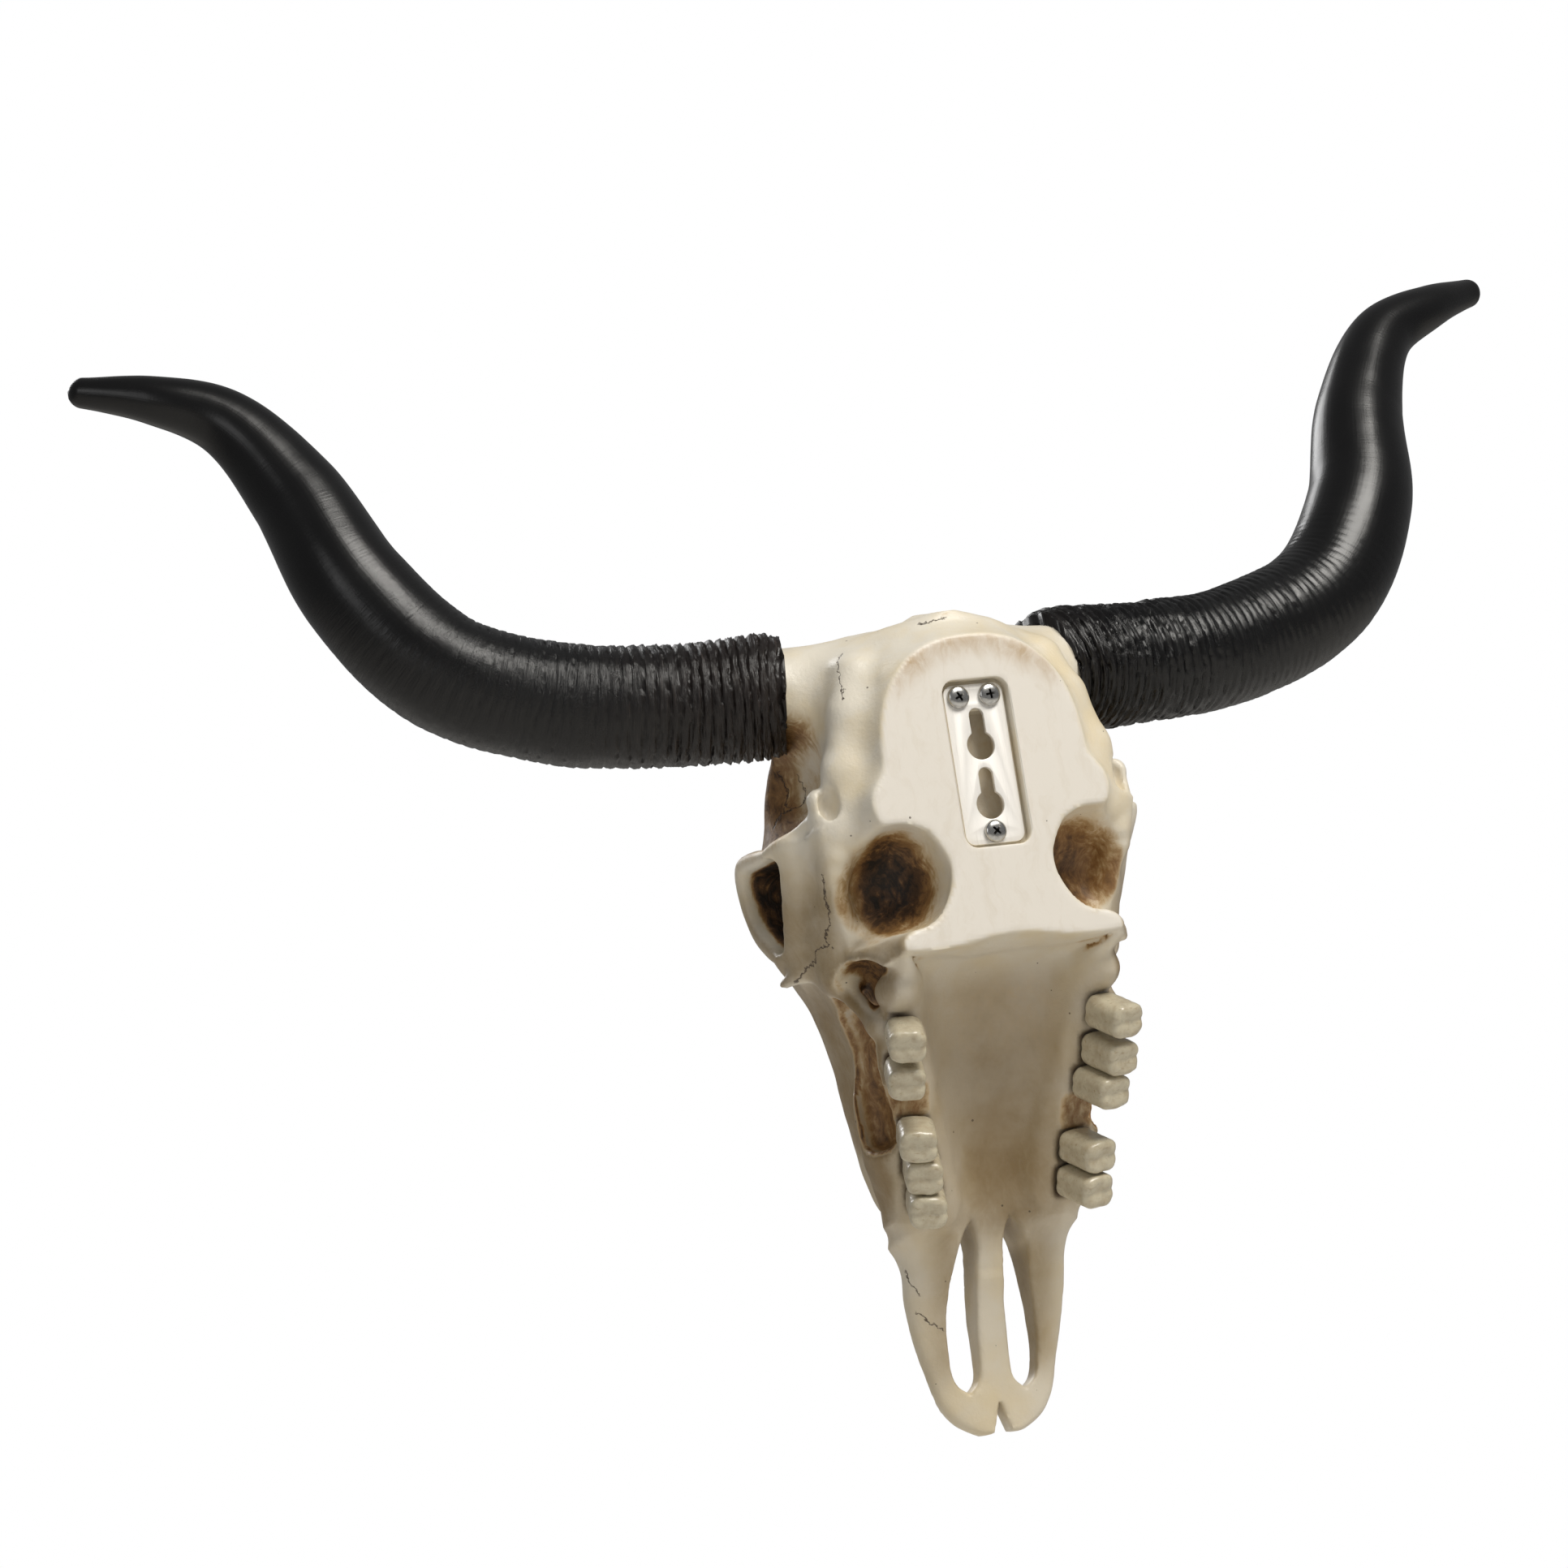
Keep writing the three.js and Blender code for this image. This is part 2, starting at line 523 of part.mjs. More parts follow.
function skullGeometry() {
  const ys = axis(grid.deep).map((deep) => -deep).reverse();
  let bone = toSolid(meshOfField(boneField, axis(grid.side), ys, axis(grid.up)));
  bone = bone.subtract(toSolid(new THREE.BoxGeometry(300, 40, 400).translate(0, 20, 0)));   // flat back
  for (const side of [1, -1]) {
    bone = bone.subtract(hornSolid(side, gap));
    for (let k = 0; k < teeth.count; k += 1) {
      if (k !== teeth.missing[side]) bone = bone.add(toothSolid(side, k / (teeth.count - 1)));
    }
    bone = bone.subtract(toSolid(palateSlot(side)));
  }
  bone = bone.subtract(toSolid(lipNotch()));
  // pocket for the plate, the deeper hollow behind its keyholes and the screw bores
  const w = plate.width / 2 + pocket.margin;
  const h = plate.height / 2 + pocket.margin;
  const z = plate.centreZ;
  const outline = roundedRectangle(-w, z - h, w, z + h, plate.corner + pocket.margin);
  bone = bone.subtract(toSolid(cutout(outline, -spare, pocketDepth + gap)));
  const hollow = pocket.hollowWidth / 2;
  const well = roundedRectangle(-hollow, z + pocket.hollowBottom, hollow, z + pocket.hollowTop, 3);
  bone = bone.subtract(toSolid(cutout(well, pocketDepth - 1, pocketDepth + pocket.hollowDepth)));
  for (const [, x, up] of screw.places) {
    const bore = new THREE.Shape();
    bore.absarc(x, z + up, screw.shankRadius + gap, 0, Math.PI * 2);
    bone = bone.subtract(toSolid(cutout(bore, pocketDepth - 1, pocketDepth + screw.shankLength + 1)));
  }
  return toGeometry(bone);
}

function palateSlot(side) {
  const shape = new THREE.Shape();
  const edge = (step, way) => {
    const up = THREE.MathUtils.lerp(slot.top, slot.foot, step / slot.steps);
    return [side * (curve(slot.mid, up) + way * curve(slot.half, up)), up];
  };
  shape.moveTo(...edge(0, -1));
  for (let step = 1; step <= slot.steps; step += 1) shape.lineTo(...edge(step, -1));
  for (let step = slot.steps; step >= 0; step -= 1) shape.lineTo(...edge(step, 1));
  return cutout(shape, slot.near, slot.far);
}

// nick between the two tips of the muzzle
function lipNotch() {
  const shape = new THREE.Shape();
  shape.moveTo(0, notch.top);
  shape.lineTo(-notch.half, notch.foot);
  shape.lineTo(notch.half, notch.foot);
  return cutout(shape, notch.near, notch.far);
}

// a lathed profile bent along the horn's centre line; extra makes it fatter, to clear its seat in the skull
function hornSolid(side, extra = 0) {
  const places = [[horn.start[side], horn.baseDeep, horn.baseUp], ...horn.line];
  const points = places.map(([x, deep, z]) => new THREE.Vector3(side * x, -deep, z));
  const line = new THREE.CatmullRomCurve3(points);
  const profile = [new THREE.Vector2(0, 0)];
  for (let i = 0; i <= horn.rings; i += 1) {
    profile.push(new THREE.Vector2(curve(horn.radius, i / horn.rings) + extra, i / horn.rings));
  }
  profile.push(new THREE.Vector2(0, 2));             // the tip, past the last ring
  const geometry = new THREE.LatheGeometry(profile, horn.sides);
  const frames = line.computeFrenetFrames(horn.rings);
  const place = geometry.attributes.position;
  for (let i = 0; i < place.count; i += 1) {
    const share = place.getY(i);
    const ring = Math.round(Math.min(share, 1) * horn.rings);
    const spot = line.getPointAt(ring / horn.rings);
    if (share > 1) spot.addScaledVector(frames.tangents[ring], horn.tipRound);
    spot.addScaledVector(frames.normals[ring], place.getX(i));
    spot.addScaledVector(frames.binormals[ring], -place.getZ(i));
    if (ring === 0) {
      const lean = horn.leanDeep * (horn.baseDeep + spot.y) - horn.leanUp * (spot.z - horn.baseUp);
      spot.x = side * (horn.start[side] + lean - extra);
    }
    place.setXYZ(i, spot.x, spot.y, spot.z);
  }
  return toSolid(geometry);
}

function plateGeometry() {
  const w = plate.width / 2;
  const h = plate.height / 2;
  const z = plate.centreZ;
  const shape = roundedRectangle(-w, z - h, w, z + h, plate.corner);
  for (const centre of keyhole.centres) {
    const hole = new THREE.Path();
    const up = z + centre;
    const turn = Math.acos(keyhole.slotRadius / keyhole.roundRadius);
    hole.absarc(0, up + keyhole.slotRise, keyhole.slotRadius, 0, Math.PI);
    hole.absarc(0, up, keyhole.roundRadius, Math.PI - turn, Math.PI * 2 + turn);
    hole.closePath();
    shape.holes.push(hole);
  }
  for (const [, x, up] of screw.places) {
    const hole = new THREE.Path();
    hole.absarc(x, z + up, screw.shankRadius + gap, 0, Math.PI * 2, true);
    shape.holes.push(hole);
  }
  return toGeometry(toSolid(cutout(shape, plate.recess, plate.recess + plate.thickness)));
}

function screwGeometry(x, up) {
  const top = screw.headHeight;
  const profile = [
    new THREE.Vector2(0, -screw.shankLength),
    new THREE.Vector2(screw.shankRadius * 0.5, -screw.shankLength),
    new THREE.Vector2(screw.shankRadius, -screw.shankLength + 2),
    new THREE.Vector2(screw.shankRadius, 0),
    new THREE.Vector2(screw.headRadius, 0),
    new THREE.Vector2(screw.headRadius, top * 0.45),
    new THREE.Vector2(screw.headRadius * 0.75, top * 0.85),
    new THREE.Vector2(screw.headRadius * 0.3, top),
    new THREE.Vector2(0, top),
  ];
  let solid = toSolid(new THREE.LatheGeometry(profile, 10));
  for (const turn of [0, Math.PI / 2]) {
    const arm = new THREE.BoxGeometry(2 * screw.crossArm, 2 * screw.crossDepth, screw.crossWidth);
    solid = solid.subtract(toSolid(arm.rotateY(turn + 0.5).translate(0, top, 0)));
  }
  return toGeometry(solid).translate(x, gap - plate.recess, plate.centreZ + up);
}

// ---------- the ornament ----------
const finish = {
  bone: new THREE.MeshStandardMaterial({ color: 0xe3dac6, roughness: 0.48, metalness: 0 }),
  horn: new THREE.MeshStandardMaterial({ color: 0x141315, roughness: 0.38, metalness: 0 }),
  plate: new THREE.MeshStandardMaterial({ color: 0xdadbdc, roughness: 0.42, metalness: 0.9 }),
  screw: new THREE.MeshStandardMaterial({ color: 0xb4b4b4, roughness: 0.22, metalness: 1 }),
};

const ornament = new THREE.Group();

function addPiece(name, geometry, material) {
  const piece = new THREE.Mesh(geometry, material);
  piece.name = name;
  ornament.add(piece);
}

addPiece('skull', skullGeometry(), finish.bone);
addPiece('horn_left', toGeometry(hornSolid(1)), finish.horn.clone());
addPiece('horn_right', toGeometry(hornSolid(-1)), finish.horn.clone());
addPiece('hanger_plate', plateGeometry(), finish.plate);
for (const [name, x, up] of screw.places) addPiece(name, screwGeometry(x, up), finish.screw.clone());

export default ornament;
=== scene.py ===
import math

import bmesh
import bpy
import numpy as np
from mathutils import Matrix, Vector, noise


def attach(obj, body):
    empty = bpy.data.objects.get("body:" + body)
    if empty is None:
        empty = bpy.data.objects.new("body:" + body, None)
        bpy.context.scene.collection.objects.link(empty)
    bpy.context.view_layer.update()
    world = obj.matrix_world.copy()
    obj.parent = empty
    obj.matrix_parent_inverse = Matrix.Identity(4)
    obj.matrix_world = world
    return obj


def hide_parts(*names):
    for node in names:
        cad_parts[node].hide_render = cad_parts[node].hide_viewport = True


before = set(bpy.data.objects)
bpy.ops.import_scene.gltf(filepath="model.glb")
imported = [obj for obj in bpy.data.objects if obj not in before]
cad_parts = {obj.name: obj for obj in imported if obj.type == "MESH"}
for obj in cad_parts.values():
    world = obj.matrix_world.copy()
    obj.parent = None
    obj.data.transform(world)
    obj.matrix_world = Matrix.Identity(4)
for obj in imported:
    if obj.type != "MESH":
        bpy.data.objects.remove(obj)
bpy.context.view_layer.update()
scene = bpy.context.scene
mm = 0.001  # sizes below are in millimetres unless a note says otherwise


def linear(hexColour):
    # sRGB hex to the linear colour that shader sockets take
    parts = [int(hexColour[i:i + 2], 16) / 255 for i in (1, 3, 5)]
    return tuple(c / 12.92 if c <= 0.04045 else ((c + 0.055) / 1.055) ** 2.4 for c in parts) + (1.0,)


def addNode(tree, kind, feeds=(), out=0, **settings):
    # adds one node with its settings, feeds its inputs with values, hex colours or other nodes' outputs,
    # by name or in order, and gives back one output
    node = tree.nodes.new(kind)
    for name, value in settings.items():
        if name == "stops":
            while len(node.color_ramp.elements) < len(value):
                node.color_ramp.elements.new(0.5)
            for element, (position, colour) in zip(node.color_ramp.elements, value):
                element.position, element.color = position, linear(colour)
        else:
            setattr(node, name, value)
    for name, value in feeds.items() if isinstance(feeds, dict) else enumerate(feeds):
        if isinstance(value, bpy.types.NodeSocket):
            tree.links.new(value, node.inputs[name])
        elif isinstance(value, str) and value.startswith("#"):
            node.inputs[name].default_value = linear(value)
        else:
            node.inputs[name].default_value = value
    return node.outputs[out] if len(node.outputs) else node


# kinds of node that come up often; a range is fed value, from low, from high, to low, to high
mathNode, vectorNode, noiseNode = "ShaderNodeMath", "ShaderNodeVectorMath", "ShaderNodeTexNoise"
rangeNode, mixNode, rampNode = "ShaderNodeMapRange", "ShaderNodeMix", "ShaderNodeValToRGB"
valueNode, storeNode = "ShaderNodeAttribute", "GeometryNodeStoreNamedAttribute"
readNode, splitNode, bumpNode = "GeometryNodeInputNamedAttribute", "ShaderNodeSeparateXYZ", "ShaderNodeBump"


# camera, stood below and behind the skull, to its left
view = {"place": (0.7270, 1.8010, -0.2539), "lens": 130.4, "sensor": 36,
        "right": (-0.93713, 0.31389, -0.15267), "up": (-0.09340, 0.19596, 0.97615),
        "forward": (-0.33632, -0.92903, 0.15431)}


def setCamera():
    data = bpy.data.cameras.new("viewCamera")
    data.lens = view["lens"]
    data.sensor_width = data.sensor_height = view["sensor"]
    data.sensor_fit = "HORIZONTAL"
    camera = bpy.data.objects.new("viewCamera", data)
    turn = Matrix((view["right"], view["up"], -Vector(view["forward"]))).transposed()
    camera.matrix_world = Matrix.Translation(view["place"]) @ turn.to_4x4()
    scene.collection.objects.link(camera)
    scene.camera = camera


# studio: a big softbox high behind the flat back, a weak one to the side, one for the face, white all round
studio = {"floorHeight": -0.42, "floorReach": 3.0, "floorColour": "#E4E1DC",
          "floorMottle": (40.0, 0.86, 0.94), "surround": 0.2,
          "aim": (0, -0.05, 0.02),
          "boxes": [("keyBox", (-0.5, 1.25, 1.5), (1.1, 0.8), 40, "#FFFCF6"),
                    ("sideBox", (1.7, 1.3, 0.6), (0.5, 0.9), 3, "#FFFFFF"),
                    ("frontBox", (0.5, -1.7, 1.2), (0.9, 0.9), 14, "#FFFFFF")]}


def setStudio():
    for name, place, size, power, colour in studio["boxes"]:
        data = bpy.data.lights.new(name, "AREA")
        data.shape = "RECTANGLE"
        data.size, data.size_y = size
        data.energy = power
        data.color = linear(colour)[:3]
        box = bpy.data.objects.new(name, data)
        aim = Vector(studio["aim"]) - Vector(place)
        box.matrix_world = Matrix.Translation(place) @ aim.to_track_quat("-Z", "Y").to_matrix().to_4x4()
        scene.collection.objects.link(box)
    world = bpy.data.worlds.new("studioWhite")
    scene.world = world
    world.use_nodes = True
    tree = world.node_tree
    tree.nodes.clear()
    seen = addNode(tree, "ShaderNodeBackground", ["#FFFFFF", 1.0])
    cast = addNode(tree, "ShaderNodeBackground", ["#FFFFFF", studio["surround"]])
    toCamera = addNode(tree, "ShaderNodeLightPath", out="Is Camera Ray")
    both = addNode(tree, "ShaderNodeMixShader", [toCamera, cast, seen])
    addNode(tree, "ShaderNodeOutputWorld", [both])
    scene.view_settings.view_transform = "Standard"
    scene.view_settings.look = "None"

    mesh = bpy.data.meshes.new("floor")
    r, z = studio["floorReach"], studio["floorHeight"]
    mesh.from_pydata([(-r, -r, z), (r, -r, z), (r, r, z), (-r, r, z)], [], [(0, 1, 2, 3)])
    floor = bpy.data.objects.new("floor", mesh)
    scene.collection.objects.link(floor)
    paper = bpy.data.materials.new("studioPaper")  # matt card: even, with a trace of mottling in its sheen
    paper.use_nodes = True
    tree = paper.node_tree
    shader = tree.nodes["Principled BSDF"]
    shader.inputs["Base Color"].default_value = linear(studio["floorColour"])
    scale, least, most = studio["floorMottle"]
    fibre = addNode(tree, noiseNode, {"Scale": scale})
    sheen = addNode(tree, rangeNode, [fibre, 0.0, 1.0, least, most])
    tree.links.new(sheen, shader.inputs["Roughness"])
    mesh.materials.append(paper)


setCamera()
setStudio()
print("camera and studio set")


def curveThrough(stations, at):
    # smooth curve through (place, value) stations, flat beyond the ends
    rows = np.array(sorted(stations), float)
    places, values = rows[:, 0], rows[:, 1]
    last = len(rows) - 1
    slopes = np.array([(values[min(k + 1, last)] - values[max(k - 1, 0)])
                       / (places[min(k + 1, last)] - places[max(k - 1, 0)]) for k in range(last + 1)])
    i = np.clip(np.searchsorted(places, at) - 1, 0, last - 1)
    width = places[i + 1] - places[i]
    t = np.clip((at - places[i]) / width, 0, 1)
    return ((1 + 2 * t) * (1 - t) ** 2 * values[i] + t * (1 - t) ** 2 * width * slopes[i]
            + t * t * (3 - 2 * t) * values[i + 1] + t * t * (t - 1) * width * slopes[i + 1])


def smoothstep(low, high, value):
    t = np.clip((value - low) / (high - low), 0, 1)
    return t * t * (3 - 2 * t)


# sculpting tools: each gives a distance, negative inside, at points (side, deep, up)
def join(a, b, soft):
    t = np.clip(0.5 + 0.5 * (b - a) / soft, 0, 1)
    return b + (a - b) * t - soft * t * (1 - t)


def carve(a, b, soft):
    return -join(-a, b, soft)


def lump(p, centre, radii):
    q = [(p[k] - centre[k]) / radii[k] for k in range(3)]
    near = np.sqrt(q[0] ** 2 + q[1] ** 2 + q[2] ** 2)
    slope = np.sqrt(sum((q[k] / radii[k]) ** 2 for k in range(3)))
    return near * (near - 1) / np.maximum(slope, 1e-9)


def strut(p, a, b, radiusA, radiusB):
    ab = [b[k] - a[k] for k in range(3)]
    ap = [p[k] - a[k] for k in range(3)]
    t = np.clip(sum(ap[k] * ab[k] for k in range(3)) / sum(v * v for v in ab), 0, 1)
    return np.sqrt(sum((ap[k] - t * ab[k]) ** 2 for k in range(3))) - (radiusA + (radiusB - radiusA) * t)


def ridge(p, points, radii, soft):
    # a chain of struts through points
    chain = strut(p, points[0], points[1], radii[0], radii[1])
    for k in range(1, len(points) - 1):
        chain = join(chain, strut(p, points[k], points[k + 1], radii[k], radii[k + 1]), soft)
    return chain


def section(side, deep, half, near, far, power):
    thick = (far - near) / 2
    q = ((np.abs(side) / half) ** power + np.abs((deep - (near + far) / 2) / thick) ** power) ** (1 / power)
    return (q - 1) * np.minimum(half, thick)


# skull: heights run from the crown (103) through the eye sockets (17) to the nose tips (-180)
# half widths, near faces (wall side) and far faces are curves of (height, size); spans are (lowest, highest)
skull = {
    "vaultHalf": [(103.3, 6), (101, 17), (98, 27), (91, 37), (80, 46), (66, 53), (55, 56), (43, 57.5),
                  (33, 60.5), (22, 64), (8, 65), (-4, 60), (-14, 52), (-24, 46), (-40, 41.5), (-60, 38),
                  (-80, 34.5), (-94, 29), (-103, 20), (-111, 12), (-119, 5)],
    "vaultNear": [(108, 20), (104, 14), (99, 14), (91, 16), (80, 24), (66, 38), (50, 44), (36, 43), (22, 40),
                  (8, 40), (-4, 42), (-14, 49), (-24, 54), (-40, 57), (-60, 60), (-80, 66), (-94, 76),
                  (-103, 92), (-111, 102), (-119, 107)],
    "vaultFar": [(108, 42), (104, 55), (99, 65), (91, 76), (80, 85), (66, 91), (50, 96), (36, 100), (22, 103),
                 (8, 105), (-4, 107), (-14, 108.5), (-24, 110), (-40, 111), (-60, 112), (-80, 113),
                 (-111, 113), (-119, 112)],
    "vaultSpan": (-119, 103),
    "plateLean": (53.8, 0.425, 40, 0.468, 1.184),  # side, per deep from 40, per up, length of the slope
    "plateThick": 9, "plateSpan": (-13, 30),
    "plateNear": (24, 0.45, 15), "plateEyeGap": 3,  # its edge towards the wall: deep, per up, from this up
    "wallHalf": [(-6, 55), (-16, 54), (-24, 51), (-42, 44.8), (-78, 41.3), (-98, 35.5)],
    "wallNear": [(-6, 46), (-42, 52), (-78, 55), (-98, 64)],
    "wallFar": [(-100, 98), (-6, 98)], "wallLean": (0.34, 57), "wallSpan": (-100, -6),
    "muzzleHalf": [(-90, 31.6), (-105, 30.6), (-118, 30.4), (-130, 30), (-140, 28.4), (-148, 26.8),
                   (-156, 24.8), (-163, 23), (-169, 20.8), (-174, 17.2), (-177.5, 12.5), (-181, 5)],
    "muzzleNear": [(-90, 50), (-105, 61), (-118, 68), (-130, 75.5), (-140, 79), (-156, 82.5), (-169, 84),
                   (-181, 85)],
    "muzzleFar": [(-90, 90), (-105, 90.5), (-118, 91), (-130, 92), (-140, 93), (-156, 94.5), (-169, 94.5),
                  (-181, 93)],
    "muzzleSpan": (-179.6, -92),
    "jawGum": [(-16, 10), (-30, 18), (-47, 27), (-75, 43), (-103, 56), (-116, 66)],
    "jawHalf": [(-14, 42), (-30, 44.5), (-47, 45.5), (-75, 41.5), (-92, 36.5), (-106, 32.2), (-116, 30.2)],
    "jawThick": [(-14, 18), (-60, 18), (-90, 15), (-108, 12)], "jawTop": -14, "jawEnd": -107, "jawTaper": 0.4,
    "palateFloor": [(-14, 12), (-22, 32), (-40, 45), (-70, 56), (-95, 63), (-110, 66.4), (-124, 69)],
    "palateHalf": [(-14, 40), (-24, 32), (-47, 30), (-80, 25.5), (-103, 21.5), (-124, 17)],
    "palateSpan": (-122, -18), "palatePower": 2.6, "palateScale": 22,
    "noseHalf": [(-80, 10), (-94, 18), (-104, 24), (-116, 28), (-130, 26), (-150, 20), (-166, 12)],
    "noseNear": [(-80, 84), (-104, 84), (-130, 90), (-166, 92)],
    "noseFar": [(-80, 104), (-104, 106), (-116, 130), (-170, 130)], "noseSpan": (-170, -84),
    "slotMid": [(-105.5, 7.6), (-109, 8.2), (-125, 10.2), (-145, 11.3), (-165, 10.6)],
    "slotHalf": [(-105.5, 0), (-109, 1.7), (-115, 3.7), (-125, 4.8), (-145, 5.6), (-156, 5.1), (-161.5, 3.6),
                 (-165, 0)],
    "slotSpan": (-165, -105.5), "slotFrom": 55,
    "coreEnd": 60.5, "coreFoot": 60,  # the horn core, above its foot height, is cut off inside the collar
    "wobble": ((0.5, 17), (0.22, 6.5)),  # height and width of the casting's unevenness
    "sharpFrom": 62,  # edges sharper than this many degrees stay crisp
    "step": 1.34,  # sampling step of the sculpt
    "reach": ((0.0, -3.0, -184.0), (78.0, 118.0, 114.0)),  # corners of the sampled block
}

# flat back seen from the wall: (side, up) places, radii and half widths
back = {"half": 37, "domeFrom": 48, "top": 91.5, "domePower": 2.4, "ear": (32.5, 34.5), "earRadius": 11.5,
        "footTop": 30, "bite": (43.5, 10.5), "biteHalf": (23.5, 15.8), "flare": 0.35, "flareTo": 28,
        "thick": 40,
        "edge": [(0, -14.6), (10, -15.6), (20, -18.6), (29, -20.4), (37, -19.4), (43, -16)],
        "footHalf": [(-20, 42), (-14, 41), (-8, 35.5), (-3, 30), (4, 24), (12, 21), (19, 23), (30, 26)]}

# eye socket seen from the side: (deep, up) places; its rim leans out with both
socket = {"centre": (58, 17), "radius": 22, "top": 27, "behind": (67, 13), "behindTurn": (0.83, 0.55),
          "behindFrom": 15.2, "rimSide": 61.2, "rimAt": (60, 10), "rimLean": (0.06, 0.205), "rimWiden": 2.5,
          "rimThick": 3.4, "floor": 30, "inner": ((20, 67, 13), (24, 30, 30))}

# masses joined to the bone, and the scoop's bowl and the nose's notch cut out of it: tool, its sizes as
# (side, deep, up) places and radii, softness of the join
masses = {
    "brainCase": (lump, ((0, 40, 49), (48, 55, 51)), 8),
    "skullBase": (lump, ((0, 50, -8), (48, 26, 24)), 8),
    "sideRidge": (ridge, ([(36, 22, 85), (40.5, 18.5, 70), (46.3, 18, 51), (49.5, 20, 30)],
                          [6.5, 7, 7, 6.5], 4), 8),
    "hornCore": (strut, ((30, 48, 84), (92, 51, 86), 17, 16.5), 14),
    "cheekPoint": (strut, ((53.5, 56, -10), (63, 65, -15), 5, 1.4), 3),
    "cheekRoot": (strut, ((48, 44, 22), (47, 46, -14), 9, 9), 6),
    "rearFloor": (lump, ((42, 43, 8), (15, 15, 24)), 6),
    "plateBar": (strut, ((56, 23, 35.5), (68, 46, 28.5), 3.4, 2.4), 3),
    "molarStrip": (strut, ((49.8, 54, -14), (43, 33, -35.5), 3.6, 3.2), 5),
    "rearRim": (ridge, ([(53.2, 20, 33), (53.6, 24, 17), (50.6, 34, 4), (48.4, 41, -6), (47, 45, -16)],
                        [5.0, 3.8, 3.8, 4.4, 6.0], 4), 5),
    "scoopShell": (strut, ((53, 21.5, 22), (55.6, 22, 41.4), 5, 4.6), 2),
    "scoopBowl": (lump, ((54.2, 15.8, 39.5), (3.2, 5.2, 6.4)), 1.2),
    "molarKnob": (lump, ((38, 22, -27), (7, 10, 7)), 4),
    "noseNotch": (strut, ((0, 0, -186), (0, 0, -169.5), 5, 0.6), 1),
}


def grow(p, bone, *names):
    for name in names:
        tool, sizes, soft = masses[name]
        bone = join(bone, tool(p, *sizes), soft)
    return bone


def drawn(p, name, power):
    # a form whose half width, near and far face follow their curves
    half, near, far = (curveThrough(skull[name + part], p[2]) for part in ("Half", "Near", "Far"))
    return section(p[0], p[1], half, near, far, power)


def within(p, name, shape):
    # the shape, cut off level at both ends of its span
    lowest, highest = skull[name + "Span"]
    return np.maximum(shape, np.maximum(p[2] - highest, lowest - p[2]))


def domeEdge(side, up, power):
    # distance from the round top of the flat back
    rise = np.maximum(up - back["domeFrom"], 0) * back["half"] / (back["top"] - back["domeFrom"])
    return (np.abs(side) ** power + rise ** power) ** (1 / power) - back["half"]


def backOutline(side, up):
    # domed top, ears, bites of the rear hollows, spread foot
    ear = np.hypot(side - back["ear"][0], up - back["ear"][1]) - back["earRadius"]
    foot = np.maximum(side - curveThrough(back["footHalf"], up), up - back["footTop"])
    upper = join(join(domeEdge(side, up, back["domePower"]), ear, 5), foot, 3)
    body = np.where(up < back["footTop"], join(foot, ear, 2), upper)
    wide, tall = back["biteHalf"]
    bite = (1 - np.hypot((side - back["bite"][0]) / wide, (up - back["bite"][1]) / tall)) * tall
    return carve(np.maximum(body, curveThrough(back["edge"], side) - up), -bite, 2)


def cranium(p):
    side, deep, up = p
    bone = grow(p, within(p, "vault", drawn(p, "vault", 2.5)), "brainCase", "skullBase")
    block = backOutline(side, up) - back["flare"] * np.clip(deep, 0, back["flareTo"])
    bone = join(bone, carve(block, back["thick"] - deep, 3), 7)
    return grow(p, bone, "sideRidge", "hornCore")


def eyeBack(deep, up):
    (deepAt, upAt), (perDeep, perUp) = socket["behind"], socket["behindTurn"]
    return -(perDeep * (deep - deepAt) + perUp * (up - upAt)) - socket["behindFrom"]


def eyeOpening(deep, up):
    # distance from the edge of the eye socket: round in front, straight behind and above
    front = np.hypot(deep - socket["centre"][0], up - socket["centre"][1]) - socket["radius"]
    return carve(carve(front, -eyeBack(deep, up), 5), socket["top"] - up, 6)


def eyeRimSide(deep, up):
    (deepAt, upAt), (perDeep, perUp) = socket["rimAt"], socket["rimLean"]
    return socket["rimSide"] + perDeep * (deep - deepAt) + perUp * (up - upAt)


def cheek(p, bone):
    side, deep, up = p
    # the plate between the rear hollow and the eye leans outwards and forwards
    at, perDeep, deepAt, perUp, slope = skull["plateLean"]
    outer = (side - (at + perDeep * (deep - deepAt) + perUp * up)) / slope
    plate = within(p, "plate", np.maximum(outer, -outer - skull["plateThick"]))
    near, perUp, upAt = skull["plateNear"]
    edges = np.maximum(near - perUp * (up - upAt) - deep, -eyeBack(deep, up) - skull["plateEyeGap"])
    plate = np.maximum(plate, edges)
    face = join(bone, plate, 7)
    lean, leanFrom = skull["wallLean"]
    wall = within(p, "wall", drawn((np.abs(side + lean * (deep - leanFrom)), deep, up), "wall", 5))
    face = grow(p, join(face, wall, 5), "cheekPoint", "cheekRoot", "rearFloor", "plateBar")
    away = np.hypot(eyeOpening(deep, up) - socket["rimWiden"], side - eyeRimSide(deep, up))
    return join(face, away - socket["rimThick"], 6)  # eye-socket rim


